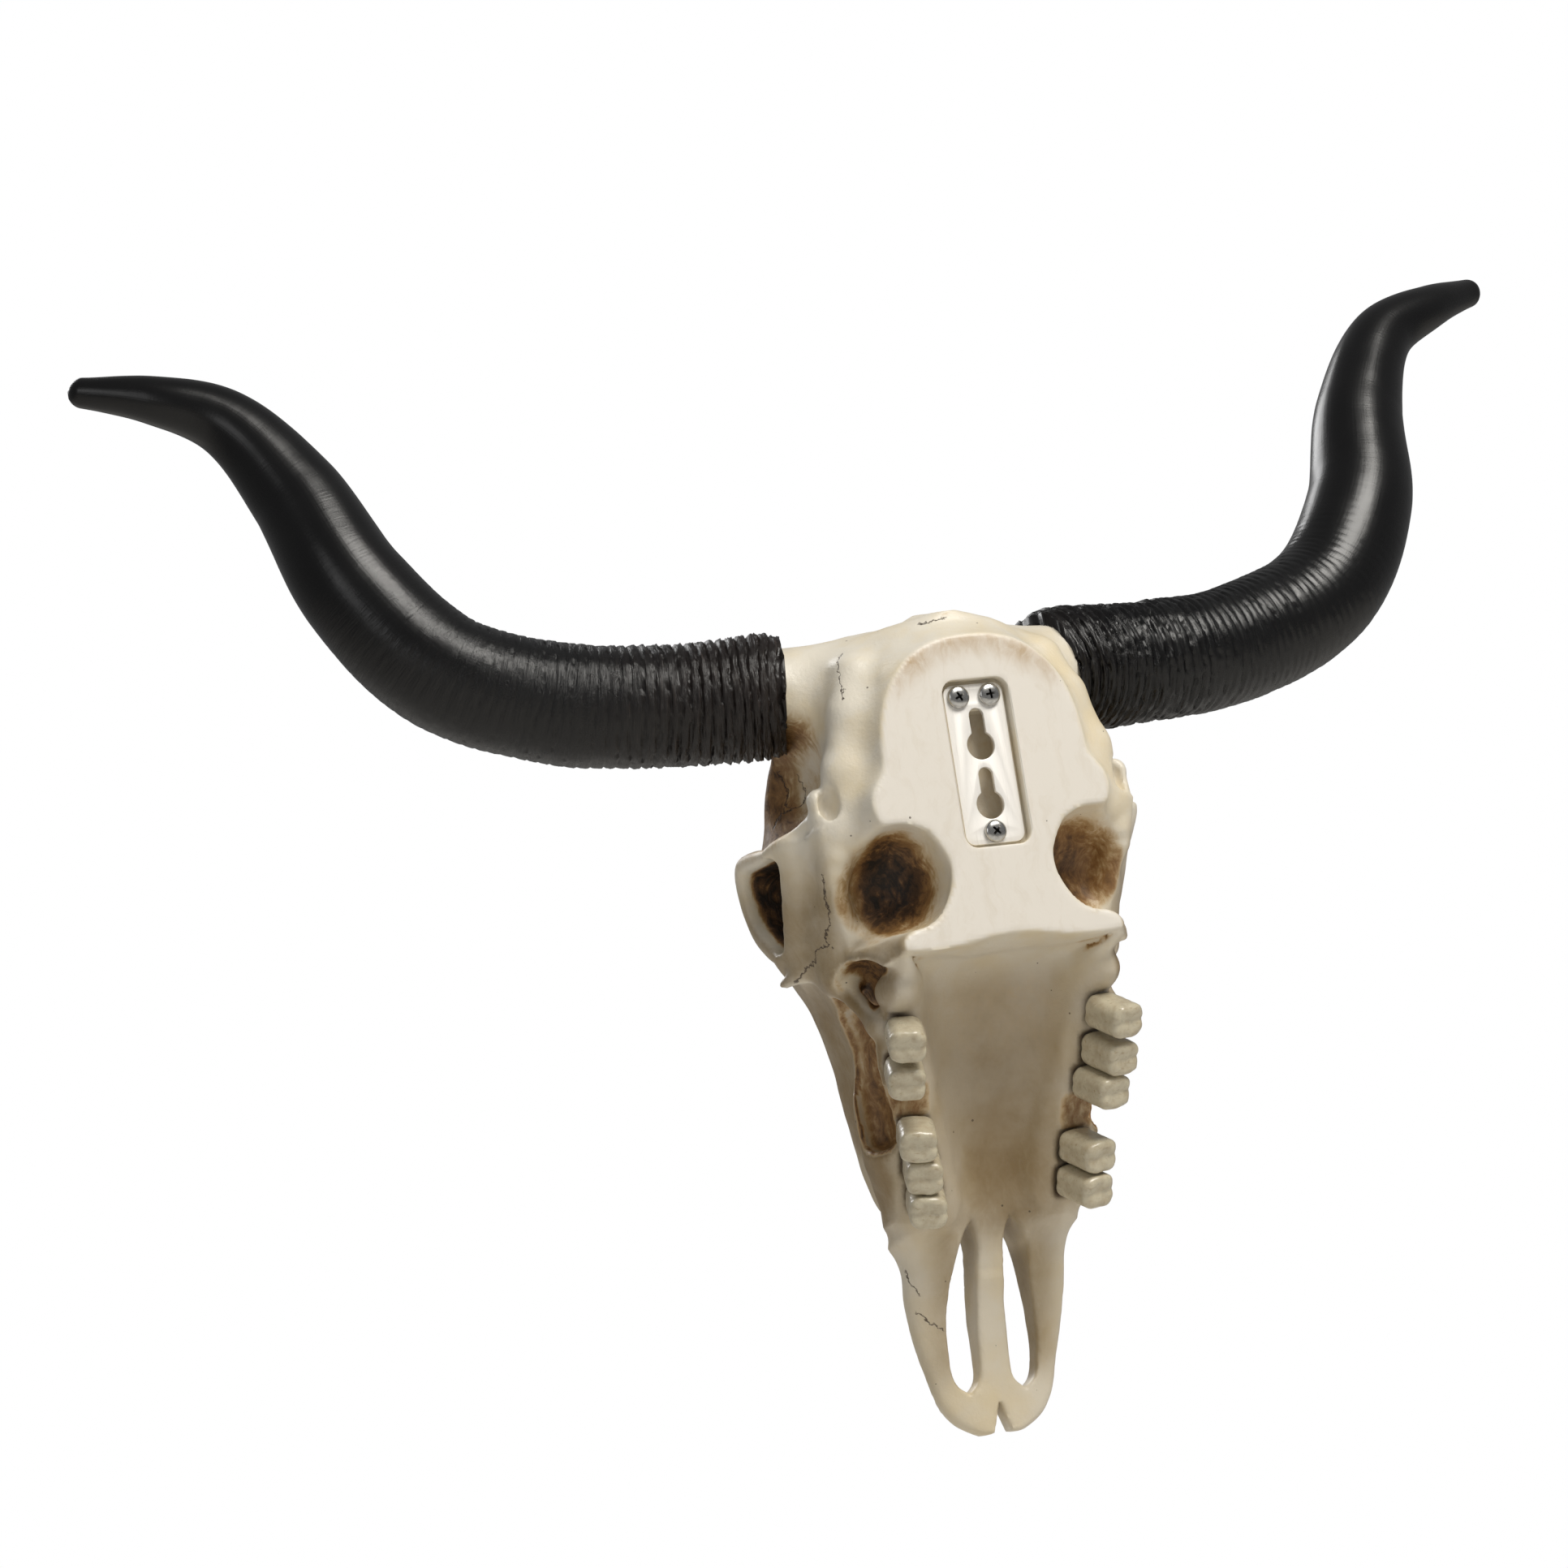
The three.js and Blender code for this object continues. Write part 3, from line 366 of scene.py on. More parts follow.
def upperJaw(p, bone):
    side, deep, up = p
    gum, thick = curveThrough(skull["jawGum"], up), curveThrough(skull["jawThick"], up)
    root = section(side, deep, curveThrough(skull["jawHalf"], up), gum, gum + 2 * thick, 4)
    ends = np.maximum(up - skull["jawTop"], (skull["jawEnd"] - up) * skull["jawTaper"])
    face = join(bone, np.maximum(root, ends), 7)
    face = join(face, within(p, "muzzle", drawn(p, "muzzle", 3)), 6)
    floor, half = curveThrough(skull["palateFloor"], up), curveThrough(skull["palateHalf"], up)
    power = skull["palatePower"]
    trough = ((np.abs(side) / half) ** power + (np.maximum(deep, 0) / floor) ** power) ** (1 / power) - 1
    return carve(face, within(p, "palate", trough * skull["palateScale"]), 6)


def hollowShapes(p):
    # hollows that the brown wash gathers in: shape, softness of the edge, strength of the wash, full depth
    side, deep, up = p
    squeezed = (side, (deep - 60) * 0.6 + 60, up)  # makes the cheek's hollow longer front to back
    eye = np.maximum(eyeOpening(deep, up), socket["floor"] - side)
    rear = join(lump(p, (35.5, 4, 9), (15.5, 27, 18.5)), lump(p, (43.5, 20, 5), (8.5, 12.5, 12)), 8)
    return {
        "rear": (rear, 3.5, 1.0, 19),
        "eye": (carve(eye, lump(p, *socket["inner"]), 8), 2, 1.0, 9),
        "temple": (lump(p, (69, 48, 53), (25, 25, 20)), 6, 0.6, 9),
        "molar": (lump(p, (46.5, 32, -25), (8.5, 22, 11)), 3.5, 0.66, 4),
        "cheek": (strut(squeezed, (42.5, 52, -35), (38.5, 58, -73), 7.6, 5), 3.5, 0.5, 3),
    }


def hollows(p, bone):
    side, deep, up = p
    for shape, soft, _, _ in hollowShapes(p).values():
        bone = carve(bone, shape, soft)
    bone = grow(p, bone, "molarStrip")
    bone = carve(bone, within(p, "nose", drawn(p, "nose", 2.5)), 3)
    slot = np.abs(side - curveThrough(skull["slotMid"], up)) - curveThrough(skull["slotHalf"], up)
    bone = carve(bone, within(p, "slot", np.maximum(slot, skull["slotFrom"] - deep)), 2)
    tool, sizes, soft = masses["noseNotch"]
    bone = carve(bone, tool((side, 0 * deep, up), *sizes), soft)
    bone = grow(p, bone, "rearRim", "scoopShell")
    tool, sizes, soft = masses["scoopBowl"]
    bone = carve(bone, tool(p, *sizes), soft)
    return grow(p, bone, "molarKnob")


# teeth: inner edge of each grinding face, from the last molar to the first; the missing one on each side
tooth = {"places": [(35.0, 9.5, -49), (34.4, 17.4, -61), (31.5, 23, -71.8), (29.5, 28.5, -81.8),
                    (27.1, 34.2, -92.4), (25.9, 39, -104)],
         "missing": {1: 2, -1: 3}, "halves": (6.7, 6.0, 9.4), "round": 2.6, "tilt": 28, "lean": 16,
         "overhang": 0.3, "sink": 7.6, "seat": 0.7, "step": 0.6, "bevel": 2.2, "swell": 0.03,
         "furrow": (0.7, 1.3), "ripple": 0.12, "dish": (0.3, 0.18), "groove": (0.5, 0.9), "lift": (0.02, 2.6)}


def toothFrame(k):
    # centre and axes (across, along the row, out of the gum) of tooth k, in (side, deep, up)
    tilt, lean = math.radians(tooth["tilt"]), math.radians(tooth["lean"])
    out = np.array((math.sin(lean), -math.cos(tilt) * math.cos(lean), -math.sin(tilt) * math.cos(lean)))
    along = np.array((0, math.sin(tilt), -math.cos(tilt)))
    across = np.array((math.cos(lean), math.cos(tilt) * math.sin(lean), math.sin(tilt) * math.sin(lean)))
    centre = np.array(tooth["places"][k]) + across * (tooth["halves"][0] - tooth["overhang"])
    return centre - out * tooth["sink"], across, along, out


def toothBox(p, k, grow=0.0):
    centre, across, along, out = toothFrame(k)
    q = [p[i] - centre[i] for i in range(3)]
    local = [sum(q[i] * axis[i] for i in range(3)) for axis in (across, along, out)]
    r = tooth["round"]
    outside = [np.abs(local[i]) - (tooth["halves"][i] - r) for i in range(3)]
    box = np.sqrt(sum(np.maximum(v, 0) ** 2 for v in outside))
    return box + np.minimum(np.maximum(outside[0], np.maximum(outside[1], outside[2])), 0) - r - grow


def boneField(p):
    bone = hollows(p, upperJaw(p, cheek(p, cranium(p))))
    gums = np.minimum.reduce([toothBox(p, k, tooth["seat"]) for k in range(len(tooth["places"]))])
    bone = carve(bone, np.maximum(gums, -2 - bone), 0.8)  # a shallow seat round each tooth
    bone = np.maximum(bone, np.minimum(p[0] - skull["coreEnd"], p[2] - skull["coreFoot"]))
    return carve(bone, p[1], 1.2)  # flat back, its edge just broken


def netOfField(values, low, step):
    # surface net: one vertex in each crossed cell, one quad round each crossed edge
    inside = values < 0
    shape = tuple(n - 1 for n in values.shape)
    total, count = np.zeros((*shape, 3)), np.zeros(shape)
    crossings = []
    for u in range(3):
        v, w = (u + 1) % 3, (u + 2) % 3
        lower, upper = [slice(None)] * 3, [slice(None)] * 3
        lower[u], upper[u] = slice(0, -1), slice(1, None)
        a, b = values[tuple(lower)], values[tuple(upper)]
        crossed = inside[tuple(lower)] != inside[tuple(upper)]
        at = np.argwhere(crossed)
        spot = at.astype(float)
        spot[:, u] += a[crossed] / (a[crossed] - b[crossed])
        cells = []
        for dv, dw in ((1, 1), (0, 1), (0, 0), (1, 0)):
            cell = at.copy()
            cell[:, v] -= dv
            cell[:, w] -= dw
            cells.append(cell)
            fine = (cell >= 0).all(1) & (cell < shape).all(1)
            index = tuple(cell[fine].T)
            np.add.at(total, index, spot[fine])
            np.add.at(count, index, 1)
        whole = (at[:, v] > 0) & (at[:, w] > 0) & (at[:, v] < shape[v]) & (at[:, w] < shape[w])
        crossings.append((cells, whole, inside[tuple(lower)][crossed]))
    used = count > 0
    number = np.full(shape, -1)
    number[used] = np.arange(used.sum())
    vertices = np.array(low) + step * total[used] / count[used][:, None]
    quads = []
    for cells, whole, insideLow in crossings:
        ring = np.stack([number[tuple(cell[whole].T)] for cell in cells], 1)
        flip = insideLow[whole]
        ring[flip] = ring[flip][:, ::-1]  # deep runs against Y
        quads.append(ring)
    return vertices, np.concatenate(quads)


def slopeOf(field, points, h=0.3):
    p = [points[:, k] for k in range(3)]
    parts = []
    for k in range(3):
        ahead, behind = list(p), list(p)
        ahead[k], behind[k] = p[k] + h, p[k] - h
        parts.append((field(ahead) - field(behind)) / (2 * h))
    return np.stack(parts, 1)


def skullSurface():
    (low, high), step = skull["reach"], skull["step"]
    axes = [np.arange(a, b + step, step) for a, b in zip(low, high)]
    half = boneField(np.meshgrid(*axes, indexing="ij"))
    whole = np.concatenate([half[:0:-1], half])
    points, quads = netOfField(whole, (-axes[0][-1], low[1], low[2]), step)
    mirrored = points[:, 0] < 0
    points[:, 0] = np.abs(points[:, 0])
    for _ in range(2):  # draw the net onto the true surface
        slope = slopeOf(boneField, points)
        value = boneField([points[:, k] for k in range(3)])
        move = slope * (value / np.maximum((slope ** 2).sum(1), 0.25))[:, None]
        points -= np.clip(move, -step, step)
    points[:, 0] *= np.where(mirrored, -1, 1)
    return points, quads


def rowPlace(points):
    # (x, deep, up) in millimetres to the row frame in metres
    return np.stack([points[:, 0], -points[:, 1], points[:, 2]], 1) * mm


def meshPiece(name, vertices, faces):
    mesh = bpy.data.meshes.new(name)
    mesh.from_pydata(vertices, [], faces)
    mesh.update()
    piece = bpy.data.objects.new(name, mesh)
    scene.collection.objects.link(piece)
    return piece


def shadeSmooth(mesh, sharpFrom):
    mesh.shade_smooth()
    mesh.set_sharp_from_angle(angle=math.radians(sharpFrom))


def turnOutwards(mesh, merge=0.0):
    # faces turned outwards, after doubles closer than merge are joined
    bm = bmesh.new()
    bm.from_mesh(mesh)
    if merge:
        bmesh.ops.remove_doubles(bm, verts=bm.verts, dist=merge)
    bmesh.ops.recalc_face_normals(bm, faces=bm.faces)
    bm.to_mesh(mesh)
    bm.free()


def wobble(points):
    # the slight unevenness of a hand-finished casting; none on the flat back
    free = np.clip((points[:, 1] - 0.4) / 3, 0, 1)
    lifts = [height * np.array([noise.noise(Vector(q) / wide) for q in points])
             for height, wide in skull["wobble"]]
    return sum(lifts) * free


def ringPoints(halfWide, low, high, corner, steps=7):
    # rounded rectangle in (x, z), anticlockwise seen from the wall side
    ring = []
    corners = ((halfWide, high), (-halfWide, high), (-halfWide, low), (halfWide, low))
    for turn, (cx, cz) in enumerate(corners):
        inX, inZ = cx - math.copysign(corner, cx), cz + (corner if cz == low else -corner)
        for k in range(steps + 1):
            a = math.pi / 2 * (turn + k / steps)
            ring.append((inX + corner * math.cos(a), inZ + corner * math.sin(a)))
    return ring


# pocket for the hanger plate, its rim as (grow, depth) steps, and the well behind the keyholes
pocket = {"halfWide": 12.3, "low": 16.45, "high": 75.55, "corner": 4.6, "deep": 4.9, "margin": 1.6,
          "rim": ((0.5, 0), (0.15, 0.13), (0, 0.5))}
well = {"halfWide": 7.5, "low": 26, "high": 65, "corner": 3, "deep": 12.6}


def openPocket(bm):
    # the flat back is opened round the pocket, then its rim, walls and floors are drawn in
    margin = pocket["margin"]
    reachX = (pocket["halfWide"] + margin) * mm
    low, high = (pocket["low"] - margin) * mm, (pocket["high"] + margin) * mm

    def nearPocket(spot):
        return abs(spot.y) < 1e-6 and abs(spot.x) < reachX and low < spot.z < high

    inside = [f for f in bm.faces if all(nearPocket(v.co) for v in f.verts)]
    bmesh.ops.delete(bm, geom=inside, context="FACES")
    torn = [e for e in bm.edges if e.is_boundary]

    def ring(shape, grow, deep):
        outline = ringPoints(shape["halfWide"] + grow, shape["low"] - grow, shape["high"] + grow,
                             shape["corner"] + grow)
        return [bm.verts.new((x * mm, -deep * mm, z * mm)) for x, z in outline]

    def loopEdges(verts):
        return [bm.edges.get((a, b)) or bm.edges.new((a, b)) for a, b in zip(verts, verts[1:] + verts[:1])]

    def wall(upper, lower):
        for k in range(len(upper)):
            n = (k + 1) % len(upper)
            bm.faces.new((upper[k], lower[k], lower[n], upper[n]))

    def faceWall(faces):
        for face in faces:
            if face.normal.y < 0:
                face.normal_flip()

    def fill(edges):
        made = bmesh.ops.triangle_fill(bm, use_beauty=True, edges=edges, normal=(0, 1, 0))
        faceWall(face for face in made["geom"] if isinstance(face, bmesh.types.BMFace))

    rims = [ring(pocket, grow, deep) for grow, deep in pocket["rim"] + ((0, pocket["deep"]),)]
    fill(torn + loopEdges(rims[0]))
    for upper, lower in zip(rims, rims[1:]):
        wall(upper, lower)
    wells = [ring(well, 0, deep) for deep in (pocket["deep"], well["deep"])]
    fill(loopEdges(rims[-1]) + loopEdges(wells[0]))
    wall(*wells)
    bottom = bm.faces.new(wells[1])
    bottom.normal_update()
    faceWall([bottom])


def writeAttribute(mesh, name, values):
    kind = "FLOAT_VECTOR" if values.ndim == 2 else "FLOAT"
    attribute = mesh.attributes.new(name, kind, "POINT")
    attribute.data.foreach_set("vector" if values.ndim == 2 else "value", values.astype(np.float32).ravel())


# cracks, sutures and folds drawn as lines: paths as (x, y, z) in millimetres
cracks = [
    [(57.7, -23.1, 14.4), (56.3, -28.9, 9.0), (54.9, -30.7, 2.3), (54.6, -32.1, -0.4), (55.9, -37.1, -4.0),
     (54.5, -36.1, -6.6), (56.5, -40.5, -7.3), (57.3, -44.2, -7.2), (56.9, -46.2, -10.9),
     (57.9, -52.3, -11.2), (58.9, -55.7, -13.2), (59.9, -59.0, -14.8)],  # suture of the cheek plate
    [(38.1, -23.3, 92.5), (42.8, -16.6, 81.8), (43.8, -13.5, 76.3)],  # neck of the horn core
    [(10.0, -13.5, 99.4), (3.2, -12.5, 100.1)],  # crown
    [(30.1, -77.2, -120.6), (29.2, -77.2, -124.2), (27.3, -77.1, -127.0)],  # muzzle
    [(26.3, -80.2, -135.2), (23.7, -80.2, -138.1), (20.1, -80.1, -140.6)],
    [(51.9, -66.7, 59.4), (50.3, -65.5, 53.1), (51.4, -66.1, 48.6), (55.9, -68.5, 42.5)],  # temple
    [(47.2, -60.3, 56.4), (46.3, -58.7, 50.2), (47.7, -59.8, 47.0), (52.7, -66.9, 46.5)],
]


def crackPlaces(points, normals):
    # for each vertex: offset across the nearest crack and distance to it, in millimetres
    farOff = 20.0
    across, near = np.full(len(points), farOff), np.full(len(points), farOff)
    for path in cracks:
        for a, b in zip(path, path[1:]):
            a, b = np.array(a, float), np.array(b, float)
            length = np.linalg.norm(b - a)
            direction = (b - a) / length
            offset = points - a
            gone = offset - np.clip(offset @ direction, 0, length)[:, None] * direction
            distance = np.linalg.norm(gone, axis=1)
            sideways = np.cross(direction, normals)
            sideways /= np.maximum(np.linalg.norm(sideways, axis=1), 1e-6)[:, None]
            closer = distance < near
            near = np.where(closer, distance, near)
            across = np.where(closer, (gone * sideways).sum(1), across)
    return np.stack([across, near, np.zeros(len(points))], 1)


# parts of the skull that are painted their own way: fades along the axes (0 side, 1 deep, 2 up), each from
# where it starts to where it is full
fades = {
    "aboveMuzzle": ((2, -120, -100),),
    "rearOutside": ((1, 60, 46), (2, -14, -8), (2, 34, 28)),
    "palate": ((0, 31, 23), (2, -16, -30), (2, -121, -104), (1, 84, 78)),
    "neck": ((0, 42, 54), (2, 84, 66), (2, 24, 40), (1, 26, 40)),
    "jawSides": ((2, -150, -120), (0, 30, 40)),
    "muzzleInside": ((2, -100, -108), (0, 12, 16)),
    "jaw": ((2, -16, -40), (2, -118, -100)),
    "rods": ((2, -100, -112), (2, -168, -150), (0, 12, 14), (0, 30, 17)),
}

# the painter's brush: strengths of the brown wash (0 bare to 1 black) and of the grey-brown film, both with
# painted shade laid in, and the distances over which they come in
brush = {"probes": ((2.5, 0.3), (6, 0.4), (13, 0.3)),  # how far each probe looks out for bone, and its share
         "shut": (0.5, 0.95), "creases": 0.7, "hollowCreases": 0.85,
         "sunkFrom": 0.5, "wideHollow": 5, "onWall": (4.5, 1), "eyeDeep": (-1.5, 3.5), "rearDeep": (4, 30),
         "rimThin": {1: 0.66, -1: 0.25}, "rim": (37, 45), "footThin": 0.35, "foot": (4, -6), "mostThin": 0.8,
         "rightRear": 0.6, "rightRearTo": (40, -10), "neck": 0.55, "palateKept": 0.15,
         "palateWashAndShade": (0.04, 0.08), "scoop": (55, 16, 42), "scoopReach": 9, "scoopWash": 0.3,
         "palateFilmAndShade": 0.85, "sideFilmAndShade": 0.75, "jawFilmAndShade": 0.25, "muzzleFilmAndShade": 0.7, "lowFilmAndShade": 0.45,
         "rodFilmAndShade": 0.62,
         "gumLine": 0.85, "emptyGumLine": 0.3, "emptySeat": 0.38, "wellShade": 0.14}


def inFade(p, name):
    value = 1.0
    for axis, start, full in fades[name]:
        value = value * smoothstep(start, full, p[axis])
    return value


# brown wash in creases and hollows, with painted shade laid in on the palate and on the neck below the horn
# core
def brownWashAndShade(p, n, x):
    # how shut in each spot is: the share of a few probes along the normal that run into bone
    shut = np.zeros(len(x))
    for reach, share in brush["probes"]:
        ahead = boneField([p[k] + n[k] * reach for k in range(3)])
        shut += share * np.clip(1 - ahead / reach, 0, 1)
    creased = smoothstep(*brush["shut"], shut)
    wash = brush["creases"] * creased * inFade(p, "aboveMuzzle")
    under = -upperJaw(p, cheek(p, cranium(p)))  # how far below the uncut bone
    below = {"eye": smoothstep(*brush["eyeDeep"], eyeRimSide(p[1], p[2]) - p[0]),
             "rear": smoothstep(*brush["rearDeep"], p[1])}
    for name, (shape, _, strength, full) in hollowShapes(p).items():
        own = smoothstep(*brush["onWall"], np.abs(shape))
        sunk = smoothstep(brush["sunkFrom"], full, under)
        if full > brush["wideHollow"]:
            sunk = np.maximum(sunk, brush["hollowCreases"] * creased)
        wash = np.maximum(wash, strength * own * np.maximum(sunk, below.get(name, 0)))
    # it thins out to the outer rim of the rear hollows, and there is less of it on the right
    thin = np.where(x > 0, brush["rimThin"][1], brush["rimThin"][-1]) * smoothstep(*brush["rim"], p[0])
    thin = np.minimum(thin + brush["footThin"] * smoothstep(*brush["foot"], p[2]), brush["mostThin"])
    wash *= 1 - thin * inFade(p, "rearOutside")
    deepest, lowest = brush["rightRearTo"]
    wash = np.where((x < 0) & (p[1] < deepest) & (p[2] > lowest), wash * brush["rightRear"], wash)
    # on the palate the wash is mostly wiped back, then laid in lightly as painted shade, stronger towards the
    # top under the flat back's lip
    palate = inFade(p, "palate")
    least, more = brush["palateWashAndShade"]
    wash = wash * (1 - (1 - brush["palateKept"]) * palate)
    wash = np.maximum(wash, palate * (least + more * smoothstep(-90, -24, p[2])))
    fromScoop = np.sqrt(sum((p[k] - brush["scoop"][k]) ** 2 for k in range(3)))
    wash = np.where(fromScoop < brush["scoopReach"], wash * brush["scoopWash"], wash)
    # painted shade, with brown wash, on the neck below the horn core
    return np.maximum(wash, brush["neck"] * inFade(p, "neck"))


def brownFilmAndShade(p, n, x):
    # a brown film with painted shade in it: on the palate, darkest down its middle, on the outer sides of
    # cheeks and jaws, low down and in the long openings
    centre = 0.6 + 0.4 * smoothstep(24, 6, np.abs(x + 6))
    palate = brush["palateFilmAndShade"] * inFade(p, "palate") * centre * (1 - 0.2 * smoothstep(-60, -30, p[2]))
    sides = brush["sideFilmAndShade"] * smoothstep(34, 5, p[2]) + brush["jawFilmAndShade"] * smoothstep(-10, -30, p[2])
    sides = sides * smoothstep(0.2, 0.85, n[0] * inFade(p, "jawSides"))
    muzzle = brush["muzzleFilmAndShade"] * smoothstep(0.3, 0.9, -n[0]) * inFade(p, "muzzleInside")
    low, rods = brush["lowFilmAndShade"] * inFade(p, "jaw"), brush["rodFilmAndShade"] * inFade(p, "rods")
    return np.maximum.reduce([palate, sides, muzzle, low, rods])


def paintSkull(mesh):
    # where wash and film gathered and where painted shade is laid in, where the teeth leave their outline,
    # and what is flat back
    count = len(mesh.vertices)
    flatList = np.empty(count * 3, np.float32)
    mesh.vertices.foreach_get("co", flatList)
    points = flatList.reshape(-1, 3).astype(float) / mm
    mesh.vertex_normals.foreach_get("vector", flatList)
    normals = flatList.reshape(-1, 3).astype(float)
    x = points[:, 0]
    p = [np.abs(x), -points[:, 1], points[:, 2]]
    n = [normals[:, 0] * np.where(x < 0, -1, 1), -normals[:, 1], normals[:, 2]]
    wash = brownWashAndShade(p, n, x)
    gum = np.zeros(count)
    for k in range(len(tooth["places"])):
        near = smoothstep(2.2, 0.4, np.abs(toothBox(p, k)))
        gone = np.where(x > 0, tooth["missing"][1], tooth["missing"][-1]) == k
        gum = np.maximum(gum, near * np.where(gone, brush["emptyGumLine"], brush["gumLine"]))
        seat = brush["emptySeat"] * smoothstep(2.5, -1, toothBox(p, k, 1.5))
        wash = np.where(gone, np.maximum(wash, seat), wash)
    flat = smoothstep(0.3, 0.0, p[1])
    middle, halfTall = (pocket["low"] + pocket["high"]) / 2, (pocket["high"] - pocket["low"]) / 2
    inPocket = (p[0] < pocket["halfWide"] + 0.1) & (np.abs(p[2] - middle) < halfTall + 0.15)
    inPocket &= (p[1] > 0.3) & (p[1] < well["deep"] + 1.4)
    # painted shade on the floor of the keyhole well behind the plate, none in the pocket itself
    wash = np.where(inPocket, np.where(p[1] > pocket["deep"] + 0.3, brush["wellShade"], 0.0), wash)
    rim = flat * smoothstep(-9, -0.5, domeEdge(p[0], p[2], 2)) * smoothstep(66, 84, p[2])
    writeAttribute(mesh, "wash", wash)
    # the film attribute holds a brown film and painted shade together
    writeAttribute(mesh, "film", brownFilmAndShade(p, n, x))
    writeAttribute(mesh, "gum", gum)
    writeAttribute(mesh, "flatBack", np.where(inPocket, 0.0, flat))
    writeAttribute(mesh, "rimStain", rim)
    writeAttribute(mesh, "seam", crackPlaces(points, normals))


def makeSkull():
    points, quads = skullSurface()
    slope = slopeOf(boneField, np.stack([np.abs(points[:, 0]), points[:, 1], points[:, 2]], 1))
    slope[:, 0] *= np.sign(points[:, 0])
    slope /= np.maximum(np.linalg.norm(slope, axis=1), 1e-6)[:, None]
    points = points + slope * wobble(points)[:, None]
    piece = meshPiece("skullCasting", rowPlace(points).tolist(), quads.tolist())
    bm = bmesh.new()
    bm.from_mesh(piece.data)
    openPocket(bm)
    bm.to_mesh(piece.data)
    bm.free()
    paintSkull(piece.data)
    shadeSmooth(piece.data, skull["sharpFrom"])
    return piece


def toothShape(axes, side, k):
    # a rounded block with a furrowed grinding face, slightly different from its neighbour
    wide, long, tall = tooth["halves"]
    a, b, c = np.meshgrid(*axes, indexing="ij")
    seed = k * 7.3 + side * 31
    swell = [1 + tooth["swell"] * noise.noise(Vector((seed, i, 0.5))) for i in range(2)]
    plan = ((np.abs(a) / (wide * swell[0])) ** 3.4 + (np.abs(b) / (long * swell[1])) ** 3.0) ** (1 / 3.2)
    deep, narrow = tooth["furrow"]  # up the cheek side of the tooth
    furrow = deep * np.exp(-(b / narrow) ** 2) * smoothstep(wide + 1, wide - 4, a)
    furrow = furrow + tooth["ripple"] * np.cos(a * 1.1 + seed)
    hollow, cusps = tooth["dish"]
    dish = hollow * np.cos(b * math.pi / long) + cusps * np.sin(a * 0.9 + seed) * np.sin(b * 0.8)
    deep, narrow = tooth["groove"]  # across the grinding face
    worn = 0.6 + dish + deep * np.exp(-(b / narrow) ** 2)
    top = np.abs(c) - tall + np.where(c > 0, worn, 0) + tooth["bevel"]
    wall = (plan - 1) * min(wide, long) + 0.5 * furrow + tooth["bevel"]
    rounded = np.hypot(np.maximum(wall, 0), np.maximum(top, 0))
    field = rounded + np.minimum(np.maximum(wall, top), 0) - tooth["bevel"]
    net, quads = netOfField(field, tuple(axis[0] for axis in axes), tooth["step"])
    rise, size = tooth["lift"]
    lift = np.array([rise * noise.noise(Vector(q) / size + Vector((seed, 0, 0))) for q in net])
    return net * (1 + lift[:, None]), quads


def makeTeeth():
    step = tooth["step"]
    axes = [np.arange(-h - 2 * step, h + 3 * step, step) for h in tooth["halves"]]
    vertices, faces, stains = [], [], []
    for side in (1, -1):
        for k in range(len(tooth["places"])):
            if k == tooth["missing"][side]:
                continue
            net, quads = toothShape(axes, side, k)
            centre, across, along, out = toothFrame(k)
            place = centre + net[:, :1] * across + net[:, 1:2] * along + net[:, 2:3] * out
            place[:, 0] *= side
            if side > 0:
                quads = quads[:, ::-1]
            faces += (quads + len(vertices)).tolist()
            vertices += rowPlace(place).tolist()
            seat = boneField([np.abs(place[:, 0]), place[:, 1], place[:, 2]])
            stains.append(smoothstep(2.4, 0.1, seat))
    piece = meshPiece("teeth", vertices, faces)
    writeAttribute(piece.data, "root", np.concatenate(stains))
    piece.data.shade_smooth()
    return piece


print("sculpting the skull")
skullPiece = makeSkull()
teethPiece = makeTeeth()
print("skull", len(skullPiece.data.polygons), "faces, teeth", len(teethPiece.data.polygons))


# horns: centre line as (side, deep, up), radius as (share of the length, millimetres), the collar's lip as
# (place along, wider than the collar), noises as (size round, size along, detail), the winding's own inputs
horn = {"start": {1: 53, -1: 47.5}, "startDeepUp": (50, 85),
        "line": [(92, 52, 85.5), (132, 60, 91.5), (170, 67, 108.5), (194, 75, 141), (207, 88, 179.5),
                 (226, 97, 209.5), (250, 102, 221), (277, 113, 229)],
        "radius": [(0, 20.8), (0.012, 22.1), (0.03, 22.8), (0.12, 22.2), (0.35, 21.2), (0.52, 20.2),
                   (0.66, 17.4), (0.78, 13.2), (0.88, 9.4), (0.96, 6.2), (1, 5)],
        "collar": 16.9, "lip": [(1.2, 0), (-0.6, 1.2), (-1.3, 3.2), (-1.0, 5.0)],
        "rings": 400, "bunching": 1.25, "tipRound": 5.0, "tipFrom": 6, "tipRings": 12, "leanUp": 0.09,
        "spacingShift": 0.3, "girth": 21.0, "fadeFrom": {"Ragged Length": 0.45, "Ringed Length": 0.3},
        "bandWander": 1.3, "bandBite": 5.0, "lineWide": 0.14, "lumpHigh": 1.8, "swellRinged": 1.6,
        "swellHigh": 0.5, "mostHigh": 0.5, "edgeRun": (1.5, 8.0), "edgeUneven": 5.0, "leanRun": (6.0, 60.0),
        "noises": {"wander": (17, 9, 3), "wrinkle": (10, 1.25, 4), "lumps": (8, 2.2, 2), "swell": (40, 24, 2),
                   "edge": (7, 60, 3)},
        "winding": {"Band Depth": 1.5, "Wrinkle Depth": 0.9, "Band Spacing": 3.7, "Ragged Length": 75,
                    "Ringed Length": 180, "Lean Deep": 0.28, "Seed": 3.0, "Sides": 108}}


